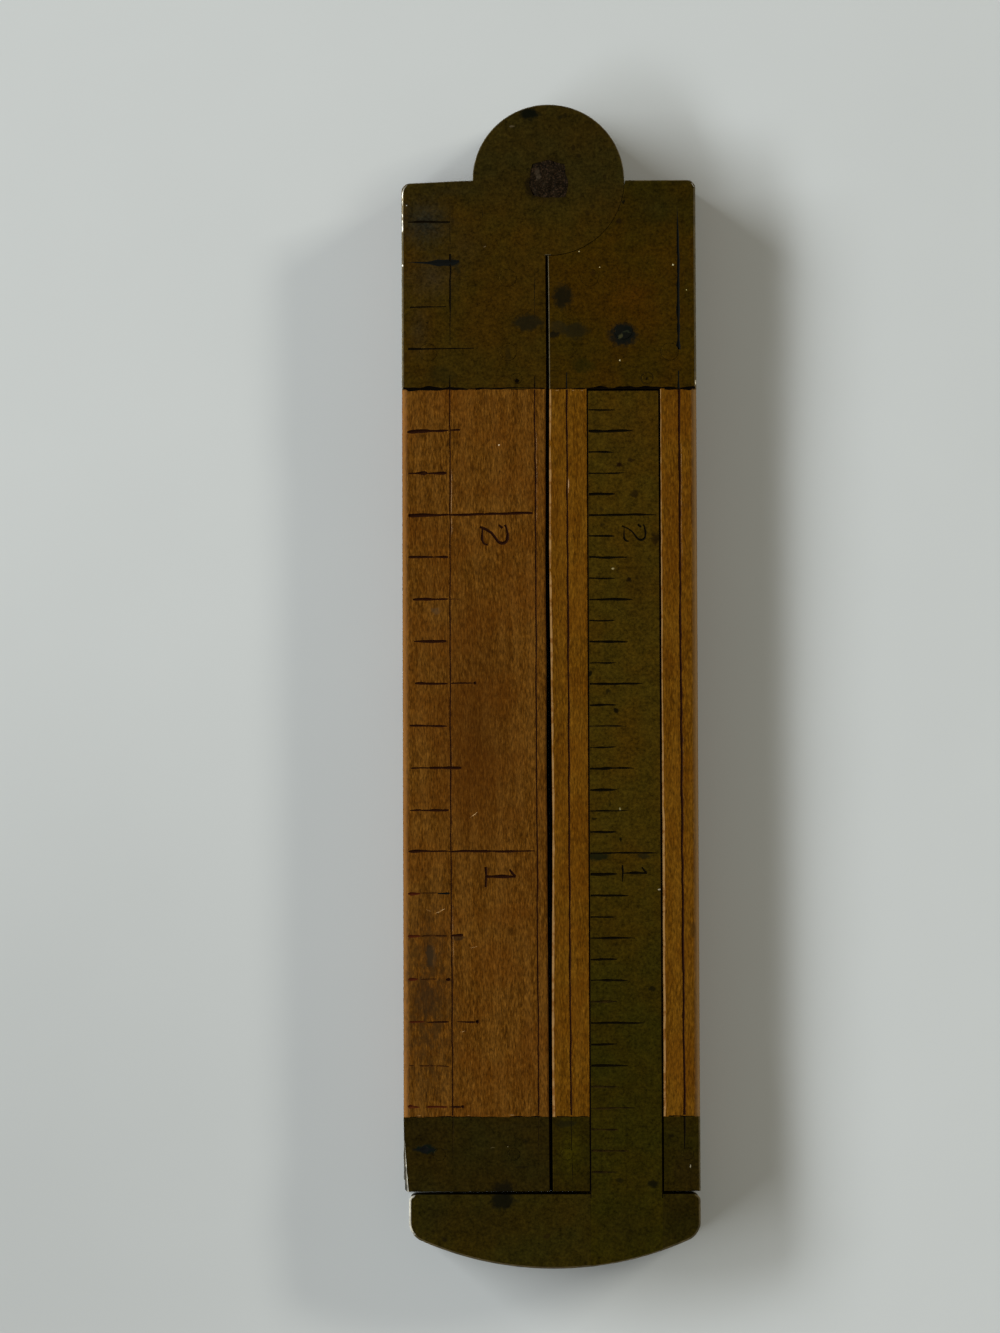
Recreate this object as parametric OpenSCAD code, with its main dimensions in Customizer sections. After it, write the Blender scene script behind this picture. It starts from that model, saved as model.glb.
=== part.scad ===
// Six inch folding caliper rule: two boxwood legs on a five leaf brass joint,
// with a brass caliper that slides in a T groove in the right-hand leg.
// It lies flat, scale side up. X runs across the legs, Y along them towards
// the joint, and the origin is on the bench under the middle of the rule.

/* [Legs] */
// Length of a leg, from the hinge axis to the end of its tip
leg_len = 76.2; // [64:0.1:100]
// Width of the rule when it is folded
folded_w = 22.225; // [18.5:0.005:27]
// Thickness of the rule
rule_t = 4.7625; // [3.9:0.0005:6]
// Gap between the two folded legs
fold_gap = 0.32; // [0.1:0.01:0.5]
// Radius of the outer corner of each shoulder
corner_r = 0.65; // [0.3:0.05:1]
// How far the plain leg's shoulder falls away towards its outer corner
shoulder_fall = 0.22; // [0:0.01:0.3]

/* [Joint] */
// Radius of the joint discs
disc_r = 5.74; // [4.8:0.01:6.9]
// Running gap round the discs
disc_gap = 0.08; // [0.05:0.01:0.15]
// Distance from the hinge axis to each shoulder
shoulder_gap = 0.04; // [0.03:0.01:0.1]
// Fillet where the plain leg's shoulder meets its disc
fillet_r = 0.3; // [0.1:0.05:0.4]
// Reach of the face plates from the hinge axis
plate_len = 15.875; // [13.2:0.005:19.1]
// Thickness of the face plates
plate_t = 0.92; // [0.75:0.01:1.1]
// Running gap between neighbouring leaves
leaf_gap = 0.03; // [0.02:0.01:0.05]
// How far the inner leaves stop short of the plates' lower edge
leaf_short = 1.7; // [1.4:0.05:1.9]
// Wood left beside an inner leaf at each edge of a leg
leaf_inset = 1.3; // [1:0.1:1.6]
// Radius of the hinge pin
pin_r = 1.5; // [1.2:0.05:1.9]
// Running clearance of the hinge pin in the leaves that turn on it
pin_gap = 0.03; // [0.02:0.01:0.05]

/* [Fasteners] */
// Radius of the rivets through plates, wood and leaves
rivet_r = 0.65; // [0.5:0.05:0.8]
// Distance from the fold line to the inner rivets
rivet_inner = 3.1; // [2.6:0.1:3.6]
// Distance from the outer edge to the outer rivet
rivet_outer = 2; // [1.7:0.1:2.6]
// Distance from the plates' lower edge up to the lower rivets
rivet_rise = 2.8; // [2.6:0.1:3]
// Distance from the disc's edge down to the upper rivet
rivet_drop = 1.7; // [1.2:0.1:2]
// Extra rise of the caliper leg's middle rivet
mid_rivet_lift = 1.6; // [0:0.1:2]
// Radius of the brads at the plates' lower edges
brad_r = 0.4; // [0.3:0.05:0.45]
// Depth that a brad reaches into the wood under its plate
brad_bite = 0.45; // [0.3:0.05:0.5]
// Distance from the outer edge to the caliper leg's brads
caliper_brad_in = 3.7; // [3:0.1:5]
// Distance from the fold line to the plain leg's brads
plain_brad_in = 2.45; // [2:0.05:4]
// Clearance of a driven pin in its hole
drive_fit = 0.01; // [0.005:0.005:0.02]

/* [Tips] */
// Length of the brass tips
tip_len = 5.556; // [4.6:0.001:6.7]
// Thickness of the brass of the tips
tip_t = 0.92; // [0.75:0.01:1]
// Radius of the pins that hold the tips
tip_pin_r = 0.45; // [0.3:0.05:0.5]

/* [Caliper] */
// Width of the slide at the face
slide_w = 5.4; // [4.5:0.05:6.5]
// Depth of the slide's neck, level with the face
neck_t = 1.1; // [0.9:0.05:1.35]
// Thickness of the slide's flanges
flange_t = 1.3; // [1.05:0.05:1.6]
// How far each flange reaches under the wood
flange_reach = 0.8; // [0.5:0.05:0.95]
// Clearance between the slide and its groove, on every side
slide_fit = 0.05; // [0.03:0.01:0.06]
// Gap between the top end of the slide and the joint plate
slide_end_gap = 0.12; // [0.05:0.01:0.3]
// Length of the jaw on the slide's line, to the crown of its arc
jaw_len = 5.556; // [4.6:0.001:6.7]
// Height of the arc at the end of the jaw
jaw_crown = 2.53; // [2:0.01:3]
// Gap between the closed jaw and the tips
jaw_gap = 0.22; // [0.1:0.01:0.3]
// Distance that the jaw's free end stops short of the plain leg's edge
jaw_short = 0.4; // [0:0.05:0.6]
// Radius of the jaw's end corners
jaw_corner_r = 0.5; // [0.3:0.05:0.6]

/* [Scales] */
// Width of an engraved line on the wood
line_w = 0.14; // [0.12:0.01:0.18]
// Width of an engraved line on the slide
fine_line_w = 0.12; // [0.1:0.01:0.14]
// Depth of the engraved lines
line_depth = 0.08; // [0.06:0.01:0.1]
// Bare margin between an edge and the ends of its ticks
edge_margin = 0.4; // [0.3:0.05:0.6]
// Distance from the outer edge to the plain leg's front tick line
tick_line = 3.7; // [3.2:0.1:4]
// Distance from the fold line to the plain leg's inner line
inner_line = 1; // [0.8:0.05:1.2]
// Distance from the fold line to the caliper leg's inner line
lip_inner_line = 1.42; // [1.2:0.02:1.5]
// Distance from the outer edge to the caliper leg's outer line
lip_outer_line = 1.2; // [1:0.05:1.4]
// Distance from the fold line to the inch lines' inner ends on the back
back_inch_stop = 2.6; // [2.4:0.1:3.2]
// Distance from the hinge axis to the top of the line on the caliper leg's plate
plate_line_top = 2.4; // [1:0.1:5]
// Height of the figures on the wood
figure_h = 2.2; // [1.8:0.1:2.4]
// Height of the figures on the slide
slide_figure_h = 1.9; // [1.6:0.1:2]

/* [Hidden] */
$fn = 96;

inch = 25.4;
eps = 0.5;                                  // over-run of a cut past a face
boxwood = "#a8662a";
brass = "#7a6526";
iron = "#4a3a34";
steel = "#8a8c8e";

leg_w = folded_w / 2;
half_gap = fold_gap / 2;
half_len = (leg_len + jaw_gap + jaw_len + disc_r) / 2;
hinge_y = half_len - disc_r;                // puts the origin mid length

// The joint's stack, from the back face up
leaf_t = (rule_t - 2 * plate_t - 4 * leaf_gap) / 3;
back_plate_z = [0, plate_t];
back_leaf_z = [plate_t + leaf_gap, plate_t + leaf_gap + leaf_t];
centre_leaf_z = [back_leaf_z[1] + leaf_gap, back_leaf_z[1] + leaf_gap + leaf_t];
front_leaf_z = [centre_leaf_z[1] + leaf_gap, centre_leaf_z[1] + leaf_gap + leaf_t];
front_plate_z = [rule_t - plate_t, rule_t];
full_z = [0, rule_t];
front_cut_z = [rule_t - line_depth, rule_t + eps];
back_cut_z = [-eps, line_depth];

// The caliper's groove, centred in its leg
mid_x = (half_gap + leg_w) / 2;
slide_x = mid_x;
groove_w = slide_w + 2 * slide_fit;
slide_t = neck_t + flange_t;
slide_top_y = -plate_len - slide_end_gap;
jaw_y = -leg_len - jaw_gap;

// Places of the rivets and brads of a leg, from the fold line and hinge axis
upper_rivet = [rivet_inner, -disc_r - rivet_drop];
inner_rivet = [rivet_inner, -plate_len + rivet_rise];
outer_rivet = [leg_w - rivet_outer, -plate_len + rivet_rise];
mid_rivet = [mid_x, -plate_len + rivet_rise + mid_rivet_lift];
caliper_leg_rivet_at = [upper_rivet, mid_rivet, outer_rivet];
plain_leg_rivet_at = [upper_rivet, inner_rivet, outer_rivet];
brad_y = -plate_len + 2 * brad_r;
caliper_leg_brad_at = [leg_w - caliper_brad_in, brad_y];
plain_leg_brad_at = [plain_brad_in, brad_y];

// The caliper leg's tip pins stand in the wood beside the groove and its flanges
lip_w = slide_x - groove_w / 2 - half_gap - flange_reach;
tip_pin_y = -leg_len + tip_len / 2;
caliper_leg_tip_pin_at = [
    [half_gap + lip_w / 2, tip_pin_y],
    [leg_w - lip_w / 2, tip_pin_y]];
plain_leg_tip_pin_at = [for (s = [-1, 1]) [mid_x + s * leg_w / 4, tip_pin_y]];

function mid(span) = (span[0] + span[1]) / 2;

// A box between two spans on each axis
module block(x, y, z)
    translate([x[0], y[0], z[0]])
        cube([x[1] - x[0], y[1] - y[0], z[1] - z[0]]);

// A round bar between two heights at a place
module post(at, r, z)
    translate([at[0], at[1], z[0]])
        cylinder(r = r, h = z[1] - z[0]);

module posts(places, r, z)
    for (at = places) post(at, r, z);

module slab(points, z)
    translate([0, 0, z[0]])
        linear_extrude(z[1] - z[0])
            polygon(points);

// Both legs are drawn on the right of the fold line, in the hinge axis's frame
module place_right()
    translate([0, hinge_y, 0]) children();

module place_left()
    translate([0, hinge_y, 0]) mirror([1, 0, 0]) children();

// A leg's outline: square at the tip, with one round corner at the shoulder, which
// is flat past the disc's fillet and then falls away
module leg_outline(z, fall = 0) {
    flat_x = disc_r + 2 * fillet_r;
    slope = fall / (leg_w - flat_x);
    cx = leg_w - corner_r;
    cy = -shoulder_gap - slope * (cx - flat_x) - corner_r * sqrt(1 + slope * slope);
    tangent = [cx, cy] + corner_r * [slope, 1] / sqrt(1 + slope * slope);
    slab([
        [half_gap, -shoulder_gap], [flat_x, -shoulder_gap], tangent, [cx, cy],
        [leg_w, cy], [leg_w, -leg_len], [half_gap, -leg_len]], z);
    post([cx, cy], corner_r, z);
}

// Fillet that joins the plain leg's shoulder to its disc
module disc_fillet(z) {
    cy = -shoulder_gap + fillet_r;
    reach = disc_r + fillet_r;
    cx = sqrt(reach * reach - cy * cy);
    on_disc = [cx, cy] * disc_r / reach;
    low_y = -shoulder_gap - fillet_r;
    difference() {
        slab([on_disc, [cx, cy], [cx, low_y], [disc_r - fillet_r, low_y]], z);
        post([cx, cy], fillet_r, [z[0] - eps, z[1] + eps]);
    }
}

// Rounds the caliper leg's inner shoulder corner, to clear that fillet at full opening
module shoulder_relief(z) {
    cy = -shoulder_gap - fillet_r;
    reach = disc_r + disc_gap + fillet_r;
    cx = sqrt(reach * reach - cy * cy);
    on_gap = [cx, cy] * (disc_r + disc_gap) / reach;
    difference() {
        slab([
            on_gap, [cx, cy], [cx, -shoulder_gap + eps],
            [disc_r - fillet_r, -shoulder_gap + eps], [disc_r - fillet_r, on_gap[1]]], z);
        post([cx, cy], fillet_r, [z[0] - eps, z[1] + eps]);
    }
}

// Face plate of a leg, without its disc
module plate_body(z, fall = 0)
    intersection() {
        leg_outline(z, fall);
        block([0, folded_w], [-plate_len, disc_r], z);
    }

// Tongue of an inner leaf, which is let into the wood
module tongue(z)
    block([half_gap + leaf_inset, leg_w - leaf_inset],
        [-plate_len + leaf_short, -leaf_inset], z);

// Space that the joint takes out of a leg's wood
module joint_cut() {
    post([0, 0], disc_r + disc_gap, [-eps, rule_t + eps]);
    block([-eps, folded_w], [-plate_len, disc_r], [-eps, plate_t]);
    block([-eps, folded_w], [-plate_len, disc_r], [rule_t - plate_t, rule_t + eps]);
}

// Brass tip, wrapped over the end of a leg
module tip_shell()
    difference() {
        block([half_gap, leg_w], [-leg_len, -leg_len + tip_len], full_z);
        block([-eps, folded_w], [-leg_len + tip_t, -leg_len + tip_len + eps],
            [tip_t, rule_t - tip_t]);
    }

// Wood of a leg under its tip is thinned to a tenon and cut back from the end
module tip_cut() {
    block([-eps, folded_w], [-leg_len - eps, -leg_len + tip_t], [-eps, rule_t + eps]);
    block([-eps, folded_w], [-leg_len - eps, -leg_len + tip_len], [-eps, tip_t]);
    block([-eps, folded_w], [-leg_len - eps, -leg_len + tip_len],
        [rule_t - tip_t, rule_t + eps]);
}

// T section of the slide, grown by a clearance, between two places along Y
module tee(y, grow) {
    neck = [slide_x - slide_w / 2 - grow, slide_x + slide_w / 2 + grow];
    block(neck, y, [rule_t - slide_t - grow, rule_t + (grow > 0 ? eps : 0)]);
    block([neck[0] - flange_reach, neck[1] + flange_reach], y,
        [rule_t - slide_t - grow, rule_t - neck_t + grow]);
}

module groove() tee([-leg_len - eps, -plate_len], slide_fit);

// Engraved line across the leg, at a height above the tip's end
module tick(x, y, w, z) block(x, [y - w / 2, y + w / 2], z);

// Engraved line along the leg
module rule_line(x, y, z) block([x - line_w / 2, x + line_w / 2], y, z);

// Length class of tick i: 0 whole inch, 1 half, 2 quarter, 3 eighth, 4 finer
function tick_class(i, per) =
    i % per == 0 ? 0 : (2 * i) % per == 0 ? 1 : (4 * i) % per == 0 ? 2 :
    (8 * i) % per == 0 ? 3 : 4;

// Ticks from the leg's end up to a height, starting at start_x and running by dir
module graduate(per, start_x, dir, lengths, span, w, z)
    for (i = [ceil(span[0] * per / inch) : floor(span[1] * per / inch)]) {
        far_x = start_x + dir * lengths[tick_class(i, per)];
        tick([min(start_x, far_x), max(start_x, far_x)], -leg_len + i * inch / per, w, z);
    }

// Outline of a pen stroke of width w that follows points p
function way(p, i) = let (
    a = p[max(i - 1, 0)],
    b = p[min(i + 1, len(p) - 1)])
    (b - a) / norm(b - a);
function side(p, w) = [for (i = [0 : len(p) - 1])
    p[i] + w / 2 * [-way(p, i)[1], way(p, i)[0]]];
function stroke(p, w) = let (back = side(p, -w))
    concat(side(p, w), [for (i = [len(p) - 1 : -1 : 0]) back[i]]);
function arc(c, r, from, to, steps = 10) = [for (i = [0 : steps])
    let (a = from + (to - from) * i / steps) c + r * [cos(a), sin(a)]];

// Strokes of the figures 1 to 5, each one unit high
figures = [
    [],
    [[[0.14, 0.76], [0.34, 1]], [[0.34, 1], [0.34, 0]], [[0.14, 0.03], [0.54, 0.03]]],
    [concat(arc([0.31, 0.7], 0.27, 165, -35), [[0.06, 0.04]]), [[0.06, 0.04], [0.62, 0.04]]],
    [arc([0.3, 0.75], 0.23, 150, -90), arc([0.3, 0.26], 0.26, 90, -150)],
    [[[0.42, 0], [0.42, 1]], [[0.42, 0.98], [0.04, 0.3]], [[0.04, 0.3], [0.62, 0.3]]],
    [[[0.55, 0.97], [0.16, 0.97]], [[0.16, 0.97], [0.12, 0.52]],
        arc([0.29, 0.3], 0.28, 128, -140)]];

// Engraved figure, its foot at x and its left edge at y. Up points to up_x, and
// it reads towards read_y, so the same figure serves both faces.
module figure(n, x, y, up_x, read_y, h, w, z)
    multmatrix([[0, up_x * h, 0, x], [read_y * h, 0, 0, y], [0, 0, 1, 0]])
        for (path = figures[n]) slab(stroke(path, w / h), z);

// Tick lengths: whole inch, half, quarter, eighth and finer
front_ticks = [leg_w - inner_line - edge_margin, 5.33, 4.1, tick_line - edge_margin, 2.2];
back_ticks = [leg_w - back_inch_stop - edge_margin, 5.33, 4.1, tick_line - edge_margin, 2.2];
tenth_ticks = [2, 2, 1.3, 1.3, 1.3];
slide_ticks = [5.1, 4, 3.35, 2.9, 2.05];

// Front engraving of the plain leg: eighths from the outer edge, and two long lines
module plain_front_marks(span, lines) {
    graduate(8, leg_w - edge_margin, -1, front_ticks, span, line_w, front_cut_z);
    y = [-leg_len + lines[0], -leg_len + lines[1]];
    rule_line(leg_w - tick_line, y, front_cut_z);
    rule_line(inner_line, y, front_cut_z);
}

// Back engraving of both legs: sixteenths from the outer edge, tenths from the fold
module back_marks(span, lines) {
    graduate(16, leg_w - edge_margin, -1, back_ticks, span, line_w, back_cut_z);
    graduate(10, half_gap + edge_margin, 1, tenth_ticks, span, line_w, back_cut_z);
    rule_line(leg_w - tick_line, [-leg_len + lines[0], -leg_len + lines[1]], back_cut_z);
}

// Front engraving of the caliper leg: a long line on each side of the slide
module caliper_front_marks(lines) {
    y = [-leg_len + lines[0], -leg_len + lines[1]];
    rule_line(lip_inner_line, y, front_cut_z);
    rule_line(leg_w - lip_outer_line, y, front_cut_z);
}

wood_lines = [tip_len, leg_len - plate_len];
plate_lines = [leg_len - plate_len, leg_len - disc_r - disc_gap];
tip_lines = [inch / 24, tip_len];

// Foot of each figure, counted from the edge it is read from, and its start
// beyond its inch line. They were struck by hand, so they differ a little.
wood_figure_foot = [0, 6.2, 5.95];
wood_figure_drop = [0, 1.2, 0.8];
slide_figure_foot = [0, 2.5, 2.45];
slide_figure_drop = [0, 0.87, 1.55];

// Stretches of a leg, counted from its end, that each piece's ticks are cut in
wood_span = [tip_len, leg_len - plate_len - line_w];
plate_span = [leg_len - plate_len + line_w, leg_len - inch / 16];
tip_span = [inch / 16, tip_len];

module plain_leg_figures()
    for (n = [1, 2]) {
        figure(n, leg_w - wood_figure_foot[n], -leg_len + n * inch - wood_figure_drop[n],
            -1, -1, figure_h, line_w, front_cut_z);
        figure(n, leg_w - wood_figure_foot[n], -leg_len + n * inch + wood_figure_drop[n],
            -1, 1, figure_h, line_w, back_cut_z);
    }

module caliper_leg_figures()
    for (n = [1, 2])
        figure(6 - n, leg_w - wood_figure_foot[n],
            -leg_len + n * inch - wood_figure_drop[n], -1, -1,
            figure_h, line_w, back_cut_z);

module caliper_leg_stock()
    color(boxwood) place_right() difference() {
        leg_outline(full_z);
        joint_cut();
        shoulder_relief([-eps, rule_t + eps]);
        tip_cut();
        groove();
        tongue([plate_t - eps, back_leaf_z[1]]);
        tongue([front_leaf_z[0], rule_t - plate_t + eps]);
        posts(caliper_leg_rivet_at, rivet_r + drive_fit, [-eps, rule_t + eps]);
        posts(caliper_leg_tip_pin_at, tip_pin_r + drive_fit, [-eps, rule_t + eps]);
        post(caliper_leg_brad_at, brad_r + drive_fit,
            [plate_t - eps, plate_t + brad_bite]);
        post(caliper_leg_brad_at, brad_r + drive_fit,
            [rule_t - plate_t - brad_bite, rule_t]);
        caliper_front_marks(wood_lines);
        back_marks(wood_span, wood_lines);
        caliper_leg_figures();
    }

module caliper_leg_plate(z)
    difference() {
        plate_body(z);
        post([0, 0], disc_r + disc_gap, [z[0] - eps, z[1] + eps]);
        shoulder_relief([z[0] - eps, z[1] + eps]);
        posts(caliper_leg_rivet_at, rivet_r + drive_fit, [z[0] - eps, z[1] + eps]);
        post(caliper_leg_brad_at, brad_r + drive_fit, [z[0] - eps, z[1] + eps]);
    }

module caliper_leg_front_plate()
    color(brass) place_right() difference() {
        caliper_leg_plate(front_plate_z);
        caliper_front_marks([leg_len - plate_len, leg_len - plate_line_top]);
    }

module caliper_leg_back_plate()
    color(brass) place_right() difference() {
        caliper_leg_plate(back_plate_z);
        back_marks(plate_span, plate_lines);
    }

// Inner leaf of the caliper leg, which turns on the hinge pin
module caliper_leg_leaf(z)
    color(steel) place_right() difference() {
        union() {
            post([0, 0], disc_r, z);
            tongue(z);
        }
        post([0, 0], pin_r + pin_gap, [z[0] - eps, z[1] + eps]);
        posts(caliper_leg_rivet_at, rivet_r + drive_fit, [z[0] - eps, z[1] + eps]);
    }

module caliper_leg_front_leaf() caliper_leg_leaf(front_leaf_z);

module caliper_leg_back_leaf() caliper_leg_leaf(back_leaf_z);

module caliper_leg_rivets()
    color(brass) place_right() posts(caliper_leg_rivet_at, rivet_r, full_z);

module brads(at) {
    post(at, brad_r, [0, plate_t + brad_bite]);
    post(at, brad_r, [rule_t - plate_t - brad_bite, rule_t]);
}

module caliper_leg_brads() color(brass) place_right() brads(caliper_leg_brad_at);

module caliper_leg_tip()
    color(brass) place_right() difference() {
        tip_shell();
        groove();
        posts(caliper_leg_tip_pin_at, tip_pin_r + drive_fit, [-eps, rule_t + eps]);
        caliper_front_marks(tip_lines);
        back_marks(tip_span, tip_lines);
    }

module caliper_leg_tip_pins()
    color(brass) place_right() posts(caliper_leg_tip_pin_at, tip_pin_r, full_z);

module plain_leg_stock()
    color(boxwood) place_left() difference() {
        leg_outline(full_z, shoulder_fall);
        joint_cut();
        tip_cut();
        tongue(centre_leaf_z);
        posts(plain_leg_rivet_at, rivet_r + drive_fit, [-eps, rule_t + eps]);
        posts(plain_leg_tip_pin_at, tip_pin_r + drive_fit, [-eps, rule_t + eps]);
        post(plain_leg_brad_at, brad_r + drive_fit, [plate_t - eps, plate_t + brad_bite]);
        post(plain_leg_brad_at, brad_r + drive_fit,
            [rule_t - plate_t - brad_bite, rule_t]);
        plain_front_marks(wood_span, wood_lines);
        back_marks(wood_span, wood_lines);
        plain_leg_figures();
    }

// Outer plate of the plain leg, one piece with its joint disc
module plain_leg_plate(z)
    difference() {
        union() {
            plate_body(z, shoulder_fall);
            disc_fillet(z);
            post([0, 0], disc_r, z);
        }
        post([0, 0], pin_r + drive_fit, [z[0] - eps, z[1] + eps]);
        posts(plain_leg_rivet_at, rivet_r + drive_fit, [z[0] - eps, z[1] + eps]);
        post(plain_leg_brad_at, brad_r + drive_fit, [z[0] - eps, z[1] + eps]);
    }

module plain_leg_front_plate()
    color(brass) place_left() difference() {
        plain_leg_plate(front_plate_z);
        plain_front_marks(plate_span, plate_lines);
    }

module plain_leg_back_plate()
    color(brass) place_left() difference() {
        plain_leg_plate(back_plate_z);
        back_marks(plate_span, plate_lines);
    }

module plain_leg_centre_leaf()
    color(brass) place_left() difference() {
        union() {
            post([0, 0], disc_r, centre_leaf_z);
            tongue(centre_leaf_z);
        }
        post([0, 0], pin_r + drive_fit, [0, rule_t]);
        posts(plain_leg_rivet_at, rivet_r + drive_fit, [0, rule_t]);
    }

module plain_leg_rivets() color(brass) place_left() posts(plain_leg_rivet_at, rivet_r, full_z);

module plain_leg_brads() color(brass) place_left() brads(plain_leg_brad_at);

module plain_leg_tip()
    color(brass) place_left() difference() {
        tip_shell();
        posts(plain_leg_tip_pin_at, tip_pin_r + drive_fit, [-eps, rule_t + eps]);
        plain_front_marks(tip_span, tip_lines);
        back_marks(tip_span, tip_lines);
    }

module plain_leg_tip_pins()
    color(brass) place_left() posts(plain_leg_tip_pin_at, tip_pin_r, full_z);

module hinge_pin() color(iron) place_left() post([0, 0], pin_r, full_z);

// Jaw outline: square to the tips, with an arc and small round corners at the end
module jaw_outline(z) {
    x = [-leg_w + jaw_short, leg_w];
    half = (x[1] - x[0]) / 2;
    arc_r = (half * half + jaw_crown * jaw_crown) / (2 * jaw_crown);
    arc_y = jaw_y - jaw_len + arc_r;
    corner_y = arc_y - sqrt(pow(arc_r - jaw_corner_r, 2) - pow(half - jaw_corner_r, 2));
    corners = [for (s = [-1, 1]) [mid(x) + s * (half - jaw_corner_r), corner_y]];
    heels = [for (s = [-1, 1]) [mid(x) + s * (half - jaw_corner_r), jaw_y - jaw_corner_r]];
    block(x, [corner_y, jaw_y - jaw_corner_r], z);
    block([x[0] + jaw_corner_r, x[1] - jaw_corner_r], [corner_y, jaw_y], z);
    posts(concat(corners, heels), jaw_corner_r, z);
    intersection() {
        post([mid(x), arc_y], arc_r, z);
        slab([
            [mid(x), arc_y],
            [mid(x), arc_y] + 1.5 * (corners[0] - [mid(x), arc_y]),
            [mid(x), arc_y] + 1.5 * (corners[1] - [mid(x), arc_y])], z);
        block(x, [jaw_y - jaw_len - eps, corner_y + jaw_corner_r], z);
    }
}

// Tenon of the slide, brazed into its slot through the jaw
module jaw_tenon(y)
    block([slide_x - slide_w / 2, slide_x + slide_w / 2], y, [rule_t - slide_t, rule_t + eps]);

module caliper_slide()
    color(brass) place_right() difference() {
        union() {
            tee([jaw_y, slide_top_y], 0);
            intersection() {
                jaw_outline(full_z);
                jaw_tenon([jaw_y - jaw_len - eps, jaw_y]);
            }
        }
        graduate(16, slide_x - slide_w / 2 - eps, 1, [for (l = slide_ticks) l + eps],
            [inch / 32, leg_len - plate_len - 1], fine_line_w, front_cut_z);
        for (n = [1, 2])
            figure(n, slide_x - slide_w / 2 + slide_figure_foot[n],
                -leg_len + n * inch - slide_figure_drop[n], 1, -1,
                slide_figure_h, fine_line_w, front_cut_z);
    }

module caliper_jaw()
    color(brass) place_right() difference() {
        jaw_outline(full_z);
        jaw_tenon([jaw_y - jaw_len - eps, jaw_y + eps]);
    }

caliper_leg_stock();
caliper_leg_front_plate();
caliper_leg_back_plate();
caliper_leg_front_leaf();
caliper_leg_back_leaf();
caliper_leg_rivets();
caliper_leg_brads();
caliper_leg_tip();
caliper_leg_tip_pins();
plain_leg_stock();
plain_leg_front_plate();
plain_leg_back_plate();
plain_leg_centre_leaf();
plain_leg_rivets();
plain_leg_brads();
plain_leg_tip();
plain_leg_tip_pins();
hinge_pin();
caliper_slide();
caliper_jaw();
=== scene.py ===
import math

import bmesh
import bpy
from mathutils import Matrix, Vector, noise


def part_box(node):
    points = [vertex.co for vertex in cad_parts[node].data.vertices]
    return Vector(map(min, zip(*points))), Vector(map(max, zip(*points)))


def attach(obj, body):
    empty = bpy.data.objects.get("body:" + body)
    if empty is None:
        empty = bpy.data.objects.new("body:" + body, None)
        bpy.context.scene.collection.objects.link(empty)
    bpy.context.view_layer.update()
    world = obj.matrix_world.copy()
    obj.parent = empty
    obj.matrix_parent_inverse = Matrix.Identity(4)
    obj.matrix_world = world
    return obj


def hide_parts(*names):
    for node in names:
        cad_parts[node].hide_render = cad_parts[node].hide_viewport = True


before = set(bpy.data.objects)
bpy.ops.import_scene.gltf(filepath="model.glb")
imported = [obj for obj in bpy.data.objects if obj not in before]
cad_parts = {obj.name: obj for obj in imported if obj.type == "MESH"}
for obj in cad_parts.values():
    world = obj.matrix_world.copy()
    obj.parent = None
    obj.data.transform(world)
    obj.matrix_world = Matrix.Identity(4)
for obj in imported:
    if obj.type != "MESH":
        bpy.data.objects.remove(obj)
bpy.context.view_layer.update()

# Everything is modelled in millimetres at its place on the rule, and scaled to metres when it is done
perMetre = 1000


def cadBox(node):
    low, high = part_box(node)
    return low * perMetre, high * perMetre


# Sizes of the frame that the pieces are fitted to
stockLow, stockHigh = cadBox('caliper_leg_stock')
plateLow, plateHigh = cadBox('caliper_leg_front_plate')
tipLow, tipHigh = cadBox('caliper_leg_tip')
leafLow, leafHigh = cadBox('plain_leg_centre_leaf')
pinLow, pinHigh = cadBox('hinge_pin')
slideHigh = cadBox('caliper_slide')[1]
jawLow, jawHigh = cadBox('caliper_jaw')
rule = {
    'thick': stockHigh.z,
    'outer': stockHigh.x,                      # outer edge of either leg, from the fold line
    'inner': stockLow.x,                       # half the fold's gap
    'plateFoot': plateLow.y,
    'plateThick': plateHigh.z - plateLow.z,
    'shoulder': plateHigh.y,
    'tipTop': tipHigh.y,
    'end': tipLow.y,
    'tipThick': 0.92,
    'hinge': (pinLow.y + pinHigh.y) / 2,
    'discRadius': leafHigh.y - (pinLow.y + pinHigh.y) / 2,
    'slideTop': slideHigh.y,
    'jawTop': jawHigh.y,
    'inch': 25.4,
}
frontPlateZ = (plateLow.z, plateHigh.z)
backPlateZ = (0, rule['plateThick'])
wholeZ = (0, rule['thick'])
past = 1                                       # how far a cutter runs past what it cuts
acrossRule = (-rule['outer'] - past, rule['outer'] + past)
throughRule = (-past, rule['thick'] + past)
legs = {1: 'caliper_leg', -1: 'plain_leg'}     # by the side of the fold
print('frame loaded:', len(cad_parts), 'nodes')


# Modelling helpers

def clearSelection():
    if bpy.context.mode != 'OBJECT':
        bpy.ops.object.mode_set(mode='OBJECT')
    bpy.ops.object.select_all(action='DESELECT')


def takeHold(piece):
    clearSelection()
    piece.select_set(True)
    bpy.context.view_layer.objects.active = piece


# Opens a piece in edit mode with all of it selected
def openWhole(piece):
    takeHold(piece)
    bpy.ops.object.mode_set(mode='EDIT')
    bpy.ops.mesh.select_all(action='SELECT')


def closeEdit():
    bpy.ops.object.mode_set(mode='OBJECT')


# Names a new primitive and keeps its place and size in its mesh
def settle(name):
    bpy.ops.object.transform_apply(location=True, rotation=False, scale=True)
    bpy.context.object.name = name
    return bpy.context.object


def addBlock(name, x, y, z):
    clearSelection()
    bpy.ops.mesh.primitive_cube_add(
        size=1,
        location=((x[0] + x[1]) / 2, (y[0] + y[1]) / 2, (z[0] + z[1]) / 2),
        scale=(x[1] - x[0], y[1] - y[0], z[1] - z[0]))
    return settle(name)


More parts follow.
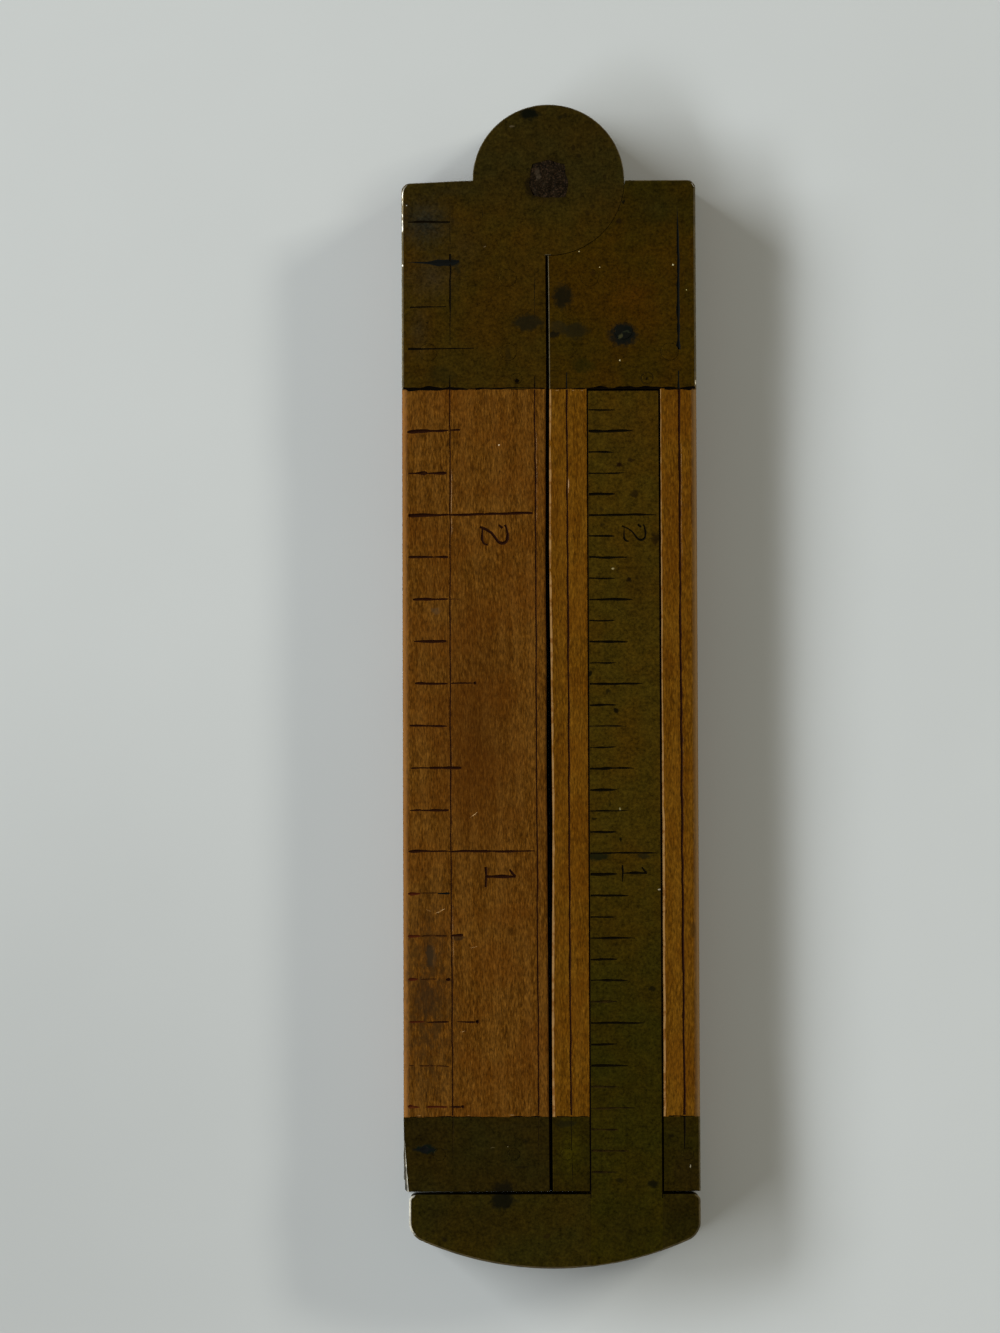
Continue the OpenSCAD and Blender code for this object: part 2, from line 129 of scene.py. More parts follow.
def addPost(name, at, radius, z, sides=96):
    clearSelection()
    bpy.ops.mesh.primitive_cylinder_add(
        vertices=sides, radius=radius, depth=z[1] - z[0],
        location=(at[0], at[1], (z[0] + z[1]) / 2))
    return settle(name)


def giveSkins(piece, *skins):
    piece.data.materials.clear()
    for skin in skins:
        piece.data.materials.append(skin)


# Boolean of a piece with a tool, which is used up
def combine(piece, tool, how='DIFFERENCE'):
    takeHold(piece)
    step = piece.modifiers.new('combine', 'BOOLEAN')
    step.operation = how
    step.solver = 'EXACT'
    step.material_mode = 'TRANSFER'
    step.object = tool
    bpy.ops.object.modifier_apply(modifier=step.name)
    bpy.data.objects.remove(tool)


def cutBlock(piece, x, y, z):
    combine(piece, addBlock('cutter', x, y, z))


def cutPost(piece, at, radius, z, sides=96):
    combine(piece, addPost('cutter', at, radius, z, sides))


# Selects in edit mode the vertices, edges or faces that pass a test
def pick(piece, kind, test):
    takeHold(piece)
    bpy.ops.object.mode_set(mode='EDIT')
    bpy.ops.mesh.select_mode(type=kind)
    bpy.ops.mesh.select_all(action='DESELECT')
    mesh = bmesh.from_edit_mesh(piece.data)
    for part in {'VERT': mesh.verts, 'EDGE': mesh.edges, 'FACE': mesh.faces}[kind]:
        if test(part):
            part.select_set(True)
    bmesh.update_edit_mesh(piece.data)


# Picks edges whose two ends pass a test and whose faces meet at more than an angle
def pickEdges(piece, test, sharp=0.5):
    pick(piece, 'EDGE', lambda edge: test(edge.verts[0].co, edge.verts[1].co)
         and edge.calc_face_angle(0) > sharp)


def roundEdges(piece, test, radius, segments=3, material=-1):
    pickEdges(piece, test)
    bpy.ops.mesh.bevel(
        offset=radius, offset_type='OFFSET', segments=segments, profile=0.5,
        affect='EDGES', clamp_overlap=False, material=material)
    closeEdit()


def near(value, goal, reach=0.02):
    return abs(value - goal) < reach


def both(a, b, test):
    return test(a) and test(b)


# Tests for the two ends of an edge
def onFace(z, test=lambda co: True):
    return lambda a, b: both(a, b, lambda co: near(co.z, z) and test(co))


def upright(a, b):
    return near(a.x, b.x) and near(a.y, b.y) and abs(a.z - b.z) > 0.1


def uprightAt(x, y, reachX=0.1, reachY=0.06):
    return lambda a, b: upright(a, b) and near(a.x, x, reachX) and near(a.y, y, reachY)


# Moves the vertices that pass a test
def shiftVertices(piece, test, by):
    pick(piece, 'VERT', lambda vertex: test(vertex.co))
    bpy.ops.transform.translate(value=by)
    closeEdit()


# Cuts a loop of new vertices round a piece at each place along an axis
def ringCut(piece, places, axis):
    openWhole(piece)
    normal = [0, 0, 0]
    normal[axis] = 1
    for place in places:
        bpy.ops.mesh.select_all(action='SELECT')
        bpy.ops.mesh.bisect(plane_co=[part * place for part in normal], plane_no=normal, use_fill=False)
    closeEdit()


# Height of a smooth line through (place, value) pairs
def follow(pairs, place):
    if place <= pairs[0][0]:
        return pairs[0][1]
    for (low, lowValue), (high, highValue) in zip(pairs, pairs[1:]):
        if place <= high:
            share = (place - low) / (high - low)
            share = share * share * (3 - 2 * share)
            return lowValue + (highValue - lowValue) * share
    return pairs[-1][1]


# Graver strokes: lists of (x, y, width) points in millimetres. Widths are (share of the way, width)
# pairs, or plain widths at even distances.

def stroke(points, widths, shake=0.02, step=0.35, seed=0, uneven=0.5):
    if not isinstance(widths[0], tuple):
        widths = [(i / (len(widths) - 1), size) for i, size in enumerate(widths)]
    run = [0]
    for a, b in zip(points, points[1:]):
        run.append(run[-1] + math.dist(a, b))
    total = run[-1]
    count = max(3, round(total / step))
    made = []
    leg = 0
    for i in range(count + 1):
        way = total * i / count
        while leg < len(run) - 2 and way > run[leg + 1]:
            leg += 1
        share = (way - run[leg]) / max(run[leg + 1] - run[leg], 1e-6)
        ax, ay = points[leg]
        bx, by = points[leg + 1]
        along = math.dist(points[leg], points[leg + 1]) or 1
        side = shake * noise.noise(Vector((way * 0.9, seed * 7.3, 0.5)))
        x = ax + (bx - ax) * share - (by - ay) / along * side
        y = ay + (by - ay) * share + (bx - ax) / along * side
        width = follow(widths, way / total)
        width *= 1 + uneven * noise.noise(Vector((way * 1.7, seed * 3.1, 4.5)))
        made.append((x, y, max(width, 0.03)))
    return made


def addGraver(strokes, ink, faceZ, depth):
    curve = bpy.data.curves.new('graver', 'CURVE')
    curve.dimensions = '3D'
    curve.twist_mode = 'Z_UP'
    curve.bevel_depth = 1
    curve.bevel_resolution = 0
    curve.use_fill_caps = True
    for points in strokes:
        spline = curve.splines.new('POLY')
        spline.points.add(len(points) - 1)
        for knot, (x, y, width) in zip(spline.points, points):
            knot.co = (x, y, 0, 1)
            knot.radius = width / 2
    tool = bpy.data.objects.new('graver', curve)
    bpy.context.scene.collection.objects.link(tool)
    takeHold(tool)
    bpy.ops.object.convert(target='MESH')
    lift = 0.01 if faceZ > 1 else -0.01        # a little out of the face
    openWhole(tool)
    bpy.ops.transform.resize(value=(1, 1, depth), center_override=(0, 0, 0))
    bpy.ops.transform.translate(value=(0, 0, faceZ + lift))
    closeEdit()
    tool.data.materials.append(ink)
    return tool


# Cuts V grooves along strokes into the front or the back face. Strokes that touch are cut in turns.
def engrave(piece, strokes, ink, faceZ=None, depth=0.7, turns=1):
    faceZ = rule['thick'] if faceZ is None else faceZ
    for turn in range(turns):
        if strokes[turn::turns]:
            combine(piece, addGraver(strokes[turn::turns], ink, faceZ, depth))


# Cuts marks given as rows of what a stroke takes
def cutMarks(piece, ink, *rows, depth=0.7, turns=1):
    engrave(piece, [stroke(*row) for row in rows], ink, depth=depth, turns=turns)


# Figures 1, 2, 4 and 5 as strokes one unit high: points run right and up, with a width at each end
def arcPoints(cx, cy, radius, start, end, steps=14):
    turn = [math.radians(start + (end - start) * i / steps) for i in range(steps + 1)]
    return [(cx + radius * math.cos(a), cy + radius * math.sin(a)) for a in turn]


figures = {
    1: [([(0.34, 0), (0.33, 0.55), (0.34, 1)], 1.1), ([(0.02, 0.02), (0.3, 0.04), (0.68, 0.02)], 0.9),
        ([(0.34, 1), (0.22, 0.88), (0.1, 0.8)], 0.9)],
    2: [([(0, 0.66), (0.06, 0.73), (0.12, 0.81)], 1.1),
        ([(0, 0.89), (0.1, 0.94), (0.2, 0.96), (0.34, 0.99), (0.48, 0.98), (0.58, 0.95), (0.65, 0.87),
          (0.66, 0.76), (0.61, 0.65), (0.51, 0.58), (0.4, 0.5), (0.3, 0.42), (0.22, 0.31), (0.15, 0.2),
          (0.09, 0.05), (0.07, 0)], 1.05),
        ([(0.12, 0.09), (0.27, 0.085), (0.42, 0.08), (0.54, 0.085), (0.65, 0.12), (0.7, 0.2),
          (0.71, 0.28)], 0.85)],
    4: [([(0.42, 0), (0.42, 1)], 1.1), ([(0.42, 0.98), (0.04, 0.3)], 0.7), ([(0.04, 0.3), (0.62, 0.3)], 1)],
    5: [([(0.55, 0.97), (0.16, 0.97)], 1), ([(0.16, 0.97), (0.12, 0.52)], 0.7),
        (arcPoints(0.29, 0.3, 0.28, 128, -140), 1)],
}


# Strokes of a figure with its foot at x and its left side at y; up and read are its directions
def figureStrokes(number, x, y, height, width, up=1, read=-1, seed=0):
    made = []
    for i, (points, weight) in enumerate(figures[number]):
        placed = [(x + up * v * height, y + read * u * height) for u, v in points]
        full = width * weight
        made.append(stroke(placed, [full * 0.8, full, full * 0.8], shake=0.015, step=0.12, seed=seed + i))
    return made


# Shading: expressions on node sockets

def srgb(red, green, blue):
    def linear(part):
        part /= 255
        return part / 12.92 if part <= 0.04045 else ((part + 0.055) / 1.055) ** 2.4
    return (linear(red), linear(green), linear(blue), 1)


class Wire:
    def __init__(self, bench, socket):
        self.bench = bench
        self.socket = socket

    def __add__(self, other):
        return self.bench.math('ADD', self, other)

    __radd__ = __add__

    def __sub__(self, other):
        return self.bench.math('SUBTRACT', self, other)

    def __rsub__(self, other):
        return self.bench.math('SUBTRACT', other, self)

    def __mul__(self, other):
        return self.bench.math('MULTIPLY', self, other)

    __rmul__ = __mul__


# Nodes of one material. Its coordinates are in millimetres on the rule.
class Bench:
    def __init__(self, name, specular=0.1):
        self.material = bpy.data.materials.new(name)
        self.material.use_nodes = True
        self.tree = self.material.node_tree
        self.shader = self.tree.nodes['Principled BSDF']
        self.shader.inputs['Specular IOR Level'].default_value = specular
        metres = self.node('ShaderNodeTexCoord', output='Object')
        self.place = self.node('ShaderNodeVectorMath', {'operation': 'SCALE'},
                               {'Vector': metres, 'Scale': perMetre})
        self.x, self.y, self.z = (
            self.node('ShaderNodeSeparateXYZ', values={0: self.place}, output=axis) for axis in 'XYZ')
        wander = self.node('ShaderNodeTexNoise', values={'Vector': self.place, 'Scale': 1.3, 'Detail': 3},
                           output='Color')
        wander = self.node('ShaderNodeVectorMath', {'operation': 'MULTIPLY_ADD'},
                           {0: wander, 1: (0.6, 0.6, 0.6), 2: (-0.3, -0.3, -0.3)})
        self.uneven = self.node('ShaderNodeVectorMath', {'operation': 'ADD'}, {0: self.place, 1: wander})
        self.front = self.above(self.z, rule['thick'] - 0.4, 0.2)
        self.ragged = self.noise(self.place, 3.4, 4, 0.75) - 0.5

    def node(self, kind, settings=None, values=None, output=0):
        made = self.tree.nodes.new(kind)
        for name, value in (settings or {}).items():
            setattr(made, name, value)
        for name, value in (values or {}).items():
            self.feed(made.inputs[name], value)
        return Wire(self, made.outputs[output])

    def feed(self, socket, value):
        if isinstance(value, Wire):
            self.tree.links.new(value.socket, socket)
        else:
            socket.default_value = value

    def math(self, operation, first, second=0):
        return self.node('ShaderNodeMath', {'operation': operation}, {0: first, 1: second})

    def mix(self, share, first, second, blend='MIX'):
        return self.node('ShaderNodeMix', {'data_type': 'RGBA', 'blend_type': blend},
                         {0: share, 6: first, 7: second}, output=2)

    def stretch(self, x, y, z, turn=0, start=None):
        return self.node('ShaderNodeMapping', values={
            'Vector': start or self.place, 'Scale': (x, y, z), 'Rotation': (0, 0, turn)})

    def noise(self, coords, scale=1.0, detail=2.0, rough=0.5, bend=0.0):
        return self.node('ShaderNodeTexNoise', values={
            'Vector': coords, 'Scale': scale, 'Detail': detail, 'Roughness': rough, 'Distortion': bend})

    # 0 below a value, 1 past it, with a soft step
    def above(self, wire, value, soft, first=0, last=1):
        return self.node('ShaderNodeMapRange', {'interpolation_type': 'SMOOTHSTEP'}, {
            'Value': wire, 'From Min': value - soft, 'From Max': value + soft,
            'To Min': first, 'To Max': last})

    def below(self, wire, value, soft):
        return self.above(wire, value, soft, 1, 0)

    # 1 inside an uneven patch on the face, 0 outside; rough is how ragged its edge is
    def patch(self, x, y, wide, high, soft=0.5, rough=0.9):
        seat = self.node('ShaderNodeMapping', {'vector_type': 'TEXTURE'}, {
            'Vector': self.uneven, 'Location': (x, y, 0), 'Scale': (wide, high, 1e6)})
        away = self.node('ShaderNodeVectorMath', {'operation': 'LENGTH'}, {0: seat}, output=1)
        return self.below(away + self.ragged * rough, 1 - soft / 2, soft / 2)

    def patches(self, colour, places):
        for x, y, wide, high, strength, tint in places:
            soft = 1.6 if wide > 2 or high > 2 else 0.5
            share = self.patch(x, y, wide, high, soft) * self.front * strength
            colour = self.mix(share, colour, srgb(*tint))
        return colour

    def dim(self, colour, factor):
        return self.node('ShaderNodeVectorMath', {'operation': 'SCALE'}, {0: colour, 'Scale': factor})

    def cast(self, colour, red, green, blue):
        return self.mix(1.0, colour, (red, green, blue, 1), 'MULTIPLY')

    def finish(self, colour, roughness, metallic, height, depth):
        self.feed(self.shader.inputs['Base Color'], colour)
        self.feed(self.shader.inputs['Roughness'], roughness)
        self.feed(self.shader.inputs['Metallic'], metallic)
        bump = self.node('ShaderNodeBump', values={'Height': height, 'Distance': depth / perMetre})
        self.feed(self.shader.inputs['Normal'], bump)
        return self.material


# Old boxwood: grain runs along the leg, in short dark and pale flecks
woodLook = {
    'body': (88, 54, 9),
    'dark': (60, 33, 3),
    'pale': (112, 74, 24),
    'red': (84, 45, 5),
    'rub': (126, 84, 38),                      # handled edges
    'rubReach': 0.5,
    'grime': (50, 33, 12),
    'rough': 0.55,
    'fleckWide': 0.1,
    'fleckLong': 0.48,
}


def woodMaterial(name, places=(), rubSide=0, rub=None, grimeSide=None, contrast=1.0, cast=(1, 1, 1)):
    look = woodLook
    bench = Bench(name, specular=0.02)
    wide, long = 1 / look['fleckWide'], 1 / look['fleckLong']
    fleck = bench.noise(bench.stretch(wide, long, wide), 0.85, 4, 0.65)
    hair = bench.noise(bench.stretch(9, 2.2, 9, turn=0.02), 1, 3, 0.7)
    streak = bench.noise(bench.stretch(1.4, 0.14, 1.4), 1, 3, 0.55, 0.4)
    cloud = bench.noise(bench.place, 0.25, 3, 0.5)
    dark = bench.below(fleck, 0.47, 0.13) * (0.85 * contrast)
    colour = bench.mix(dark, srgb(*look['body']), srgb(*look['dark']))
    colour = bench.mix(bench.above(fleck, 0.6, 0.12) * (0.6 * contrast), colour, srgb(*look['pale']))
    colour = bench.mix(bench.above(streak, 0.53, 0.12) * 0.35, colour, srgb(*look['pale']))
    colour = bench.mix(bench.above(cloud, 0.52, 0.12) * 0.4, colour, srgb(*look['red']))
    colour = bench.dim(colour, 1 + (hair - 0.5) * (2.9 * contrast))
    colour = bench.cast(colour, *cast)
    if rubSide:
        half = look['rubReach'] / 2
        edge = bench.above(bench.x * rubSide, rule['outer'] - half, half)
        colour = bench.mix(edge * bench.front * 0.85, colour, srgb(*(rub or look['rub'])))
    if grimeSide:
        x, y, wideZone, highZone, strength = grimeSide
        dirt = bench.noise(bench.stretch(2.2, 1.2, 2.2), 1, 4, 0.65)
        zone = bench.patch(x, y, wideZone, highZone, 0.9) * bench.above(dirt, 0.47, 0.12)
        colour = bench.mix(zone * bench.front * strength, colour, srgb(*look['grime']))
    colour = bench.patches(colour, places)
    height = fleck * 0.6 + hair * 0.4
    return bench.finish(colour, look['rough'] + (fleck - 0.5) * 0.25, 0.0, height, 0.012)


# Brass under an old brown and olive skin, speckled and pitted
brassLook = {
    'metallic': 0.45,
    'rough': 0.46,
    'speckle': 4.2,                            # specks per millimetre
    'grainy': 2.7,                             # how far single specks stray from the mean
    'mottle': 1.3,
    'blotchy': 1.1,
    'gain': 1.36,
}


# The skin changes from its low to its high colour across a height, both as they look from above
def brassMaterial(name, low, high=None, across=(0, 1), places=(), spots=(), metallic=None):
    look = brassLook
    bench = Bench(name, specular=0.02)
    speck = bench.noise(bench.place, look['speckle'], 3, 0.75)
    mottle = bench.noise(bench.place, look['mottle'], 4, 0.6, 0.3)
    cloud = bench.noise(bench.place, 0.3, 3, 0.55)
    rub = bench.noise(bench.stretch(6, 0.35, 6, turn=0.06), 1, 3, 0.6)
    colour = bench.mix(bench.above(bench.y, *across), srgb(*low), srgb(*(high or low)))
    warm = bench.cast(colour, 1.1, 0.98, 0.8)
    green = bench.cast(colour, 0.93, 1.02, 1.1)
    colour = bench.mix(bench.above(cloud, 0.5, 0.2), green, warm)
    colour = bench.patches(colour, places)
    factor = look['gain'] * (1 + (speck - 0.5) * look['grainy'] + (mottle - 0.5) * look['blotchy'])
    colour = bench.dim(colour, factor)
    colour = bench.patches(colour, spots)
    roughness = look['rough'] + (mottle - 0.5) * 0.3 + (rub - 0.5) * 0.12
    height = speck * 0.6 + mottle * 0.4
    return bench.finish(colour, roughness, metallic or look['metallic'], height, 0.014)


# Two colours in clouds
def cloudedMaterial(name, first, second, share, soft=0.1, scale=1.8, rough=0.75, metallic=0.0,
                    specular=0.02):
    bench = Bench(name, specular)
    cloud = bench.noise(bench.place, scale, 3, 0.6)
    colour = bench.mix(bench.above(cloud, 1 - share, soft), srgb(*first), srgb(*second))
    return bench.finish(colour, rough + (cloud - 0.5) * 0.2, metallic, cloud, 0.01)


# Ink and dirt in the grooves, and the colours of other cut marks, among them painted shade and painted
# highlight
def inkMaterial(name, dark, worn, share):
    return cloudedMaterial(name, dark, worn, share)


# Brass rubbed pale along an edge: worn metal, its paleness partly painted highlight
def wornSheenBrassMaterial(name, tint, dull=0.6):
    return cloudedMaterial(name, tint, [part * dull for part in tint], 0.5, 0.15, 1.6, 0.4, 0.5, 0.3)


def ironMaterial():
    bench = Bench('pinIron', specular=0.03)
    rust = bench.noise(bench.place, 2.2, 4, 0.7)
    fine = bench.noise(bench.place, 7, 3, 0.6)
    colour = bench.mix(bench.above(rust, 0.5, 0.14), srgb(14, 9, 4), srgb(31, 23, 12))
    colour = bench.mix(bench.above(fine, 0.58, 0.08) * 0.7, colour, srgb(58, 42, 27))
    # a paler patch on the head's upper left: painted highlight
    colour = bench.patches(colour, [(-0.8, rule['hinge'] + 0.45, 0.3, 0.6, 0.6, (62, 52, 38))])
    return bench.finish(colour, 0.6 + (rust - 0.5) * 0.4, 0.2, rust * 0.7 + fine * 0.3, 0.05)


def steelMaterial():
    bench = Bench('jointSteel', specular=0.4)
    brush = bench.noise(bench.stretch(1.2, 9, 9), 1, 3, 0.6)
    stain = bench.noise(bench.place, 0.7, 4, 0.6)
    colour = bench.mix(bench.above(stain, 0.55, 0.15), srgb(122, 120, 114), srgb(74, 62, 50))
    return bench.finish(colour, 0.38 + (brush - 0.5) * 0.25, 0.9, brush, 0.008)


woodInk = inkMaterial('woodInk', (34, 14, 5), (52, 28, 8), 0.3)
faintInk = inkMaterial('faintInk', (48, 26, 7), (76, 44, 12), 0.4)
rustInk = inkMaterial('rustInk', (62, 24, 8), (84, 44, 12), 0.35)
# dark seam colour: dirt in the joints and painted shade in the gaps
seamDirtAndShade = inkMaterial('seamDirtAndShade', (9, 5, 2), (22, 13, 5), 0.2)
# near-black painted shade for the fold's facing sides
foldShade = inkMaterial('foldShade', (5, 2, 1), (9, 5, 2), 0.3)
brassInk = inkMaterial('brassInk', (14, 9, 2), (28, 20, 4), 0.3)
faintBrassInk = inkMaterial('faintBrassInk', (24, 17, 3), (40, 29, 5), 0.5)
slideInk = inkMaterial('slideInk', (12, 8, 1), (26, 20, 2), 0.3)
blackInk = inkMaterial('blackInk', (14, 15, 13), (26, 24, 16), 0.3)
# pale wood of chips, and of worn chamfers where the paleness is partly painted highlight
paleWoodAndSheen = inkMaterial('paleWoodAndSheen', (132, 99, 56), (106, 70, 30), 0.45)
scratchedWood = inkMaterial('scratchedWood', (178, 146, 98), (132, 94, 48), 0.45)
# pale painted highlight for the lit walls of grooves
grooveWallHighlight = inkMaterial('grooveWallHighlight', (172, 138, 96), (112, 76, 36), 0.5)
# rubbed brass on bevels, paler than the skin: wear with painted highlight
rubbedEdgeSheen = wornSheenBrassMaterial('rubbedEdgeSheen', (96, 84, 54), 0.75)
# near-white brass for rims: wear with painted highlight
wornEdgeHighlight = wornSheenBrassMaterial('wornEdgeHighlight', (204, 198, 178))
print('inks and rubbed edges ready')


# Last steps of a piece: smooth shading, real size, body and the nodes it stands for
def finishPiece(piece, name, body, slotName, *nodes):
    openWhole(piece)
    bpy.ops.mesh.remove_doubles(threshold=0.0005)
    bpy.ops.mesh.dissolve_degenerate(threshold=0.0005)
    bpy.ops.mesh.select_all(action='SELECT')
    bpy.ops.transform.resize(value=[1 / perMetre] * 3, center_override=(0, 0, 0))
    closeEdit()
    bpy.ops.object.shade_smooth_by_angle(angle=math.radians(28))
    even = piece.modifiers.new('evenShading', 'WEIGHTED_NORMAL')
    even.keep_sharp = True
    bpy.ops.object.modifier_apply(modifier=even.name)
    piece.name = name
    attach(piece, body)
    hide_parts(*nodes)
    print('made', name, len(piece.data.polygons), 'faces')


def finishLegPiece(piece, side, part, node, slotName='aged_brass'):
    leg = legs[side]
    finishPiece(piece, leg + '_' + part, leg, slotName, leg + '_' + node)


# Legs of boxwood

# Where the worn inner edges of the two legs run, as (y, x)
plainInnerEdge = [(-38, -0.2), (-35, -0.21), (-27, -0.24), (-8.8, -0.28), (-6.5, -0.31), (2.5, -0.28),
                  (8.9, -0.34), (14, -0.29), (21.4, -0.28), (22.6, -0.22), (32, -0.26)]
caliperInnerEdge = [(-38, 0.06), (-35, 0.05), (-27, 0.02), (-8.8, 0.12), (-6.5, 0.09), (2.5, 0.02),
                    (8.9, -0.06), (14, -0.04), (21.4, -0.02), (22.6, 0.01), (30.4, -0.04), (32, -0.07)]
legBlank = {
    'cornerRadius': 0.65,
    'shoulderFall': 0.22,                      # on the plain leg only
    'flatReach': 6.34,                         # the shoulder is level out to here
    'stationGap': 4,                           # between the points of the worn inner edge
    'backGap': 0.01,                           # of the fold at the back
}


# A leg's blank from y to y: side is 1 for the caliper leg and -1 for the plain one
def addLegBlank(name, side, y, z):
    inner, outer = side * rule['inner'], side * rule['outer']
    blank = addBlock(name, sorted([inner, outer]), y, z)
    if y[1] > rule['plateFoot']:
        ringCut(blank, [side * legBlank['flatReach']], 0)
        if side < 0:
            shiftVertices(blank, lambda co: near(co.x, outer) and near(co.y, y[1]),
                          (0, -legBlank['shoulderFall'], 0))
        roundEdges(blank, uprightAt(outer, y[1], 0.02, 0.3), legBlank['cornerRadius'], 8)
    low, high = y
    count = max(2, round((high - low) / legBlank['stationGap']))
    stations = [low + (high - low) * i / count for i in range(count + 1)]
    ringCut(blank, stations[1:-1], 1)
    for station in stations:
        for level in z:
            shift = innerEdgeAt(side, station, level) - inner
            shiftVertices(blank, lambda co: near(co.x, inner) and near(co.y, station, 0.05)
                          and near(co.z, level), (shift, 0, 0))
    return blank


# Gives the faces that pass a test another material
def coatFaces(piece, material, test):
    piece.data.materials.append(material)
    pick(piece, 'FACE', test)
    piece.active_material_index = len(piece.data.materials) - 1
    bpy.ops.object.material_slot_assign()
    closeEdit()


# Painted shade on the sides that face each other across the fold, so the gap reads black
def darkenFold(piece, side):
    coatFaces(piece, foldShade,
              lambda face: face.normal.x * -side > 0.95 and abs(face.calc_center_median().x) < 0.5)


# Rivets, brads and tip pins go through the pieces here, by the side of the fold
posts = {
    'rivets': (0.65, {1: [(3.1, 30.678), (5.636, 26.643), (9.1125, 25.043)],
                      -1: [(-3.1, 30.678), (-3.1, 25.043), (-9.1125, 25.043)]}),
    'brads': (0.4, {1: [(7.4125, 23.043)], -1: [(-2.45, 23.043)]}),
    'tipPins': (0.45, {1: [(1.123, -35.304), (10.149, -35.304)],
                       -1: [(-2.858, -35.304), (-8.414, -35.304)]}),
}
holeRoom = 0.015


def drill(piece, side, *kinds):
    for kind in kinds:
        radius, places = posts[kind]
        for at in places[side]:
            cutPost(piece, at, radius + holeRoom, throughRule, 64)


def innerEdgeAt(side, y, z=rule['thick']):
    plain, caliper = follow(plainInnerEdge, y), follow(caliperInnerEdge, y)
    front = caliper if side > 0 else plain
    back = (plain + caliper) / 2 + side * legBlank['backGap'] / 2
    return back + (front - back) * z / rule['thick']


def onOuter(co, side):
    return near(co.x, side * rule['outer'])


def onInner(co, side):
    return near(co.x, innerEdgeAt(side, co.y, co.z), 0.06)


def cutTipRebate(stock):
    end, thin = rule['end'], rule['tipThick']
    cutBlock(stock, acrossRule, (end - past, end + thin), throughRule)
    cutBlock(stock, acrossRule, (end - past, rule['tipTop']), (-past, thin))
    cutBlock(stock, acrossRule, (end - past, rule['tipTop']), (rule['thick'] - thin, rule['thick'] + past))


discRoom = 0.04                                # between the wood and the disc


def cutJoint(stock):
    high = (rule['plateFoot'], rule['shoulder'] + past)
    cutPost(stock, (0, rule['hinge']), rule['discRadius'] + discRoom, throughRule, 160)
    cutBlock(stock, acrossRule, high, (-past, rule['plateThick']))
    cutBlock(stock, acrossRule, high, (rule['thick'] - rule['plateThick'], rule['thick'] + past))


# The slot that a leaf of the joint is let into, from the frame's own leaf
leafReach = {'inset': 1.3, 'short': 1.7}


def cutLeafSlot(stock, side, z):
    inset = leafReach['inset']
    x = sorted([side * (rule['inner'] + inset), side * (rule['outer'] - inset)])
    cutBlock(stock, x, (rule['plateFoot'] + leafReach['short'], rule['shoulder'] - inset), z)


teeSection = {
    'left': 2.88, 'right': 8.27,               # the neck's sides
    'leftGap': 0.07, 'rightGap': 0.11,         # worn running gaps beside the neck
    'neckThick': 1.1,
    'flangeThick': 1.3,
    'flangeReach': 0.78,
    'clearance': 0.05,
}


def cutGroove(piece, y):
    tee = teeSection
    top = rule['thick']
    left, right = tee['left'] - tee['leftGap'], tee['right'] + tee['rightGap']
    flangeTop = top - tee['neckThick'] + tee['clearance']
    floor = top - tee['neckThick'] - tee['flangeThick'] - tee['clearance']
    cutBlock(piece, (left, right), y, (floor, top + past))
    cutBlock(piece, (left - tee['flangeReach'], right + tee['flangeReach']), y, (floor, flangeTop))


# A tick's rise and its cuts as (start, end, width, end width, ink), counted in from the outer edge.
# The ink is dark where none is named. The key is the tick's count of eighths from the leg's end.
plainTicks = {
    18: (0.12, [(0.37, 3.5, 0.26, 0.14), (3.6, 4.4, 0.1, 0.16)]),
    17: (0, [(0.45, 1.9, 0.12, 0.24), (1.9, 3.35, 0.13, 0.22)]),
    16: (0.06, [(0.46, 3.6, 0.28, 0.16), (3.6, 6.2, 0.16, 0.18), (6.2, 9.85, 0.17, 0.18)]),
    15: (0.02, [(0.45, 2.4, 0.2, 0.14), (2.4, 3.45, 0.14, 0.2)]),
    14: (0, [(0.8, 3.45, 0.22, 0.14), (3.6, 4.3, 0.1, 0.08, 'faint')]),
    13: (0.05, [(0.87, 3.3, 0.13, 0.24)]),
    12: (0, [(0.94, 3.4, 0.16, 0.14), (3.6, 5.35, 0.12, 0.12), (5.35, 5.55, 0.22, 0.2)]),
    11: (-0.04, [(0.51, 3.36, 0.18, 0.15)]),
    10: (0, [(0.6, 2, 0.12, 0.14), (2, 4.4, 0.16, 0.22)]),
    9: (0.03, [(0.5, 1.4, 0.12, 0.15), (1.4, 3.45, 0.13, 0.17)]),
    8: (0, [(0.4, 3.4, 0.19, 0.15), (3.4, 6.6, 0.14, 0.18), (6.6, 9.9, 0.16, 0.13)]),
    7: (0, [(0.35, 1.3, 0.26, 0.14, 'rust'), (1.3, 2.6, 0.1, 0.1, 'faint'),
            (2.6, 3.5, 0.14, 0.22, 'black')]),
    6: (0.03, [(0.33, 1.3, 0.26, 0.14, 'rust'), (1.4, 3.3, 0.12, 0.14, 'faint'), (3.6, 4.5, 0.18, 0.18)]),
    5: (0, [(0.33, 1.1, 0.22, 0.14, 'rust'), (1.3, 2.5, 0.1, 0.12, 'faint'), (3.2, 3.55, 0.2, 0.24)]),
    4: (0, [(0.38, 1.6, 0.17, 0.12, 'rust'), (1.7, 3.4, 0.1, 0.12), (4.0, 5.4, 0.08, 0.14),
            (5.42, 5.66, 0.24, 0.28)]),
    3: (-0.08, [(0.37, 0.8, 0.16, 0.12, 'faint'), (1.2, 2.4, 0.12, 0.16, 'faint'),
                (2.5, 3.4, 0.14, 0.1, 'faint')]),
    2: (0, [(0.27, 1.2, 0.26, 0.14, 'rust'), (1.7, 3.3, 0.16, 0.13, 'rust'), (3.45, 4.3, 0.12, 0.16),
            (4.3, 4.55, 0.24, 0.3)]),
}
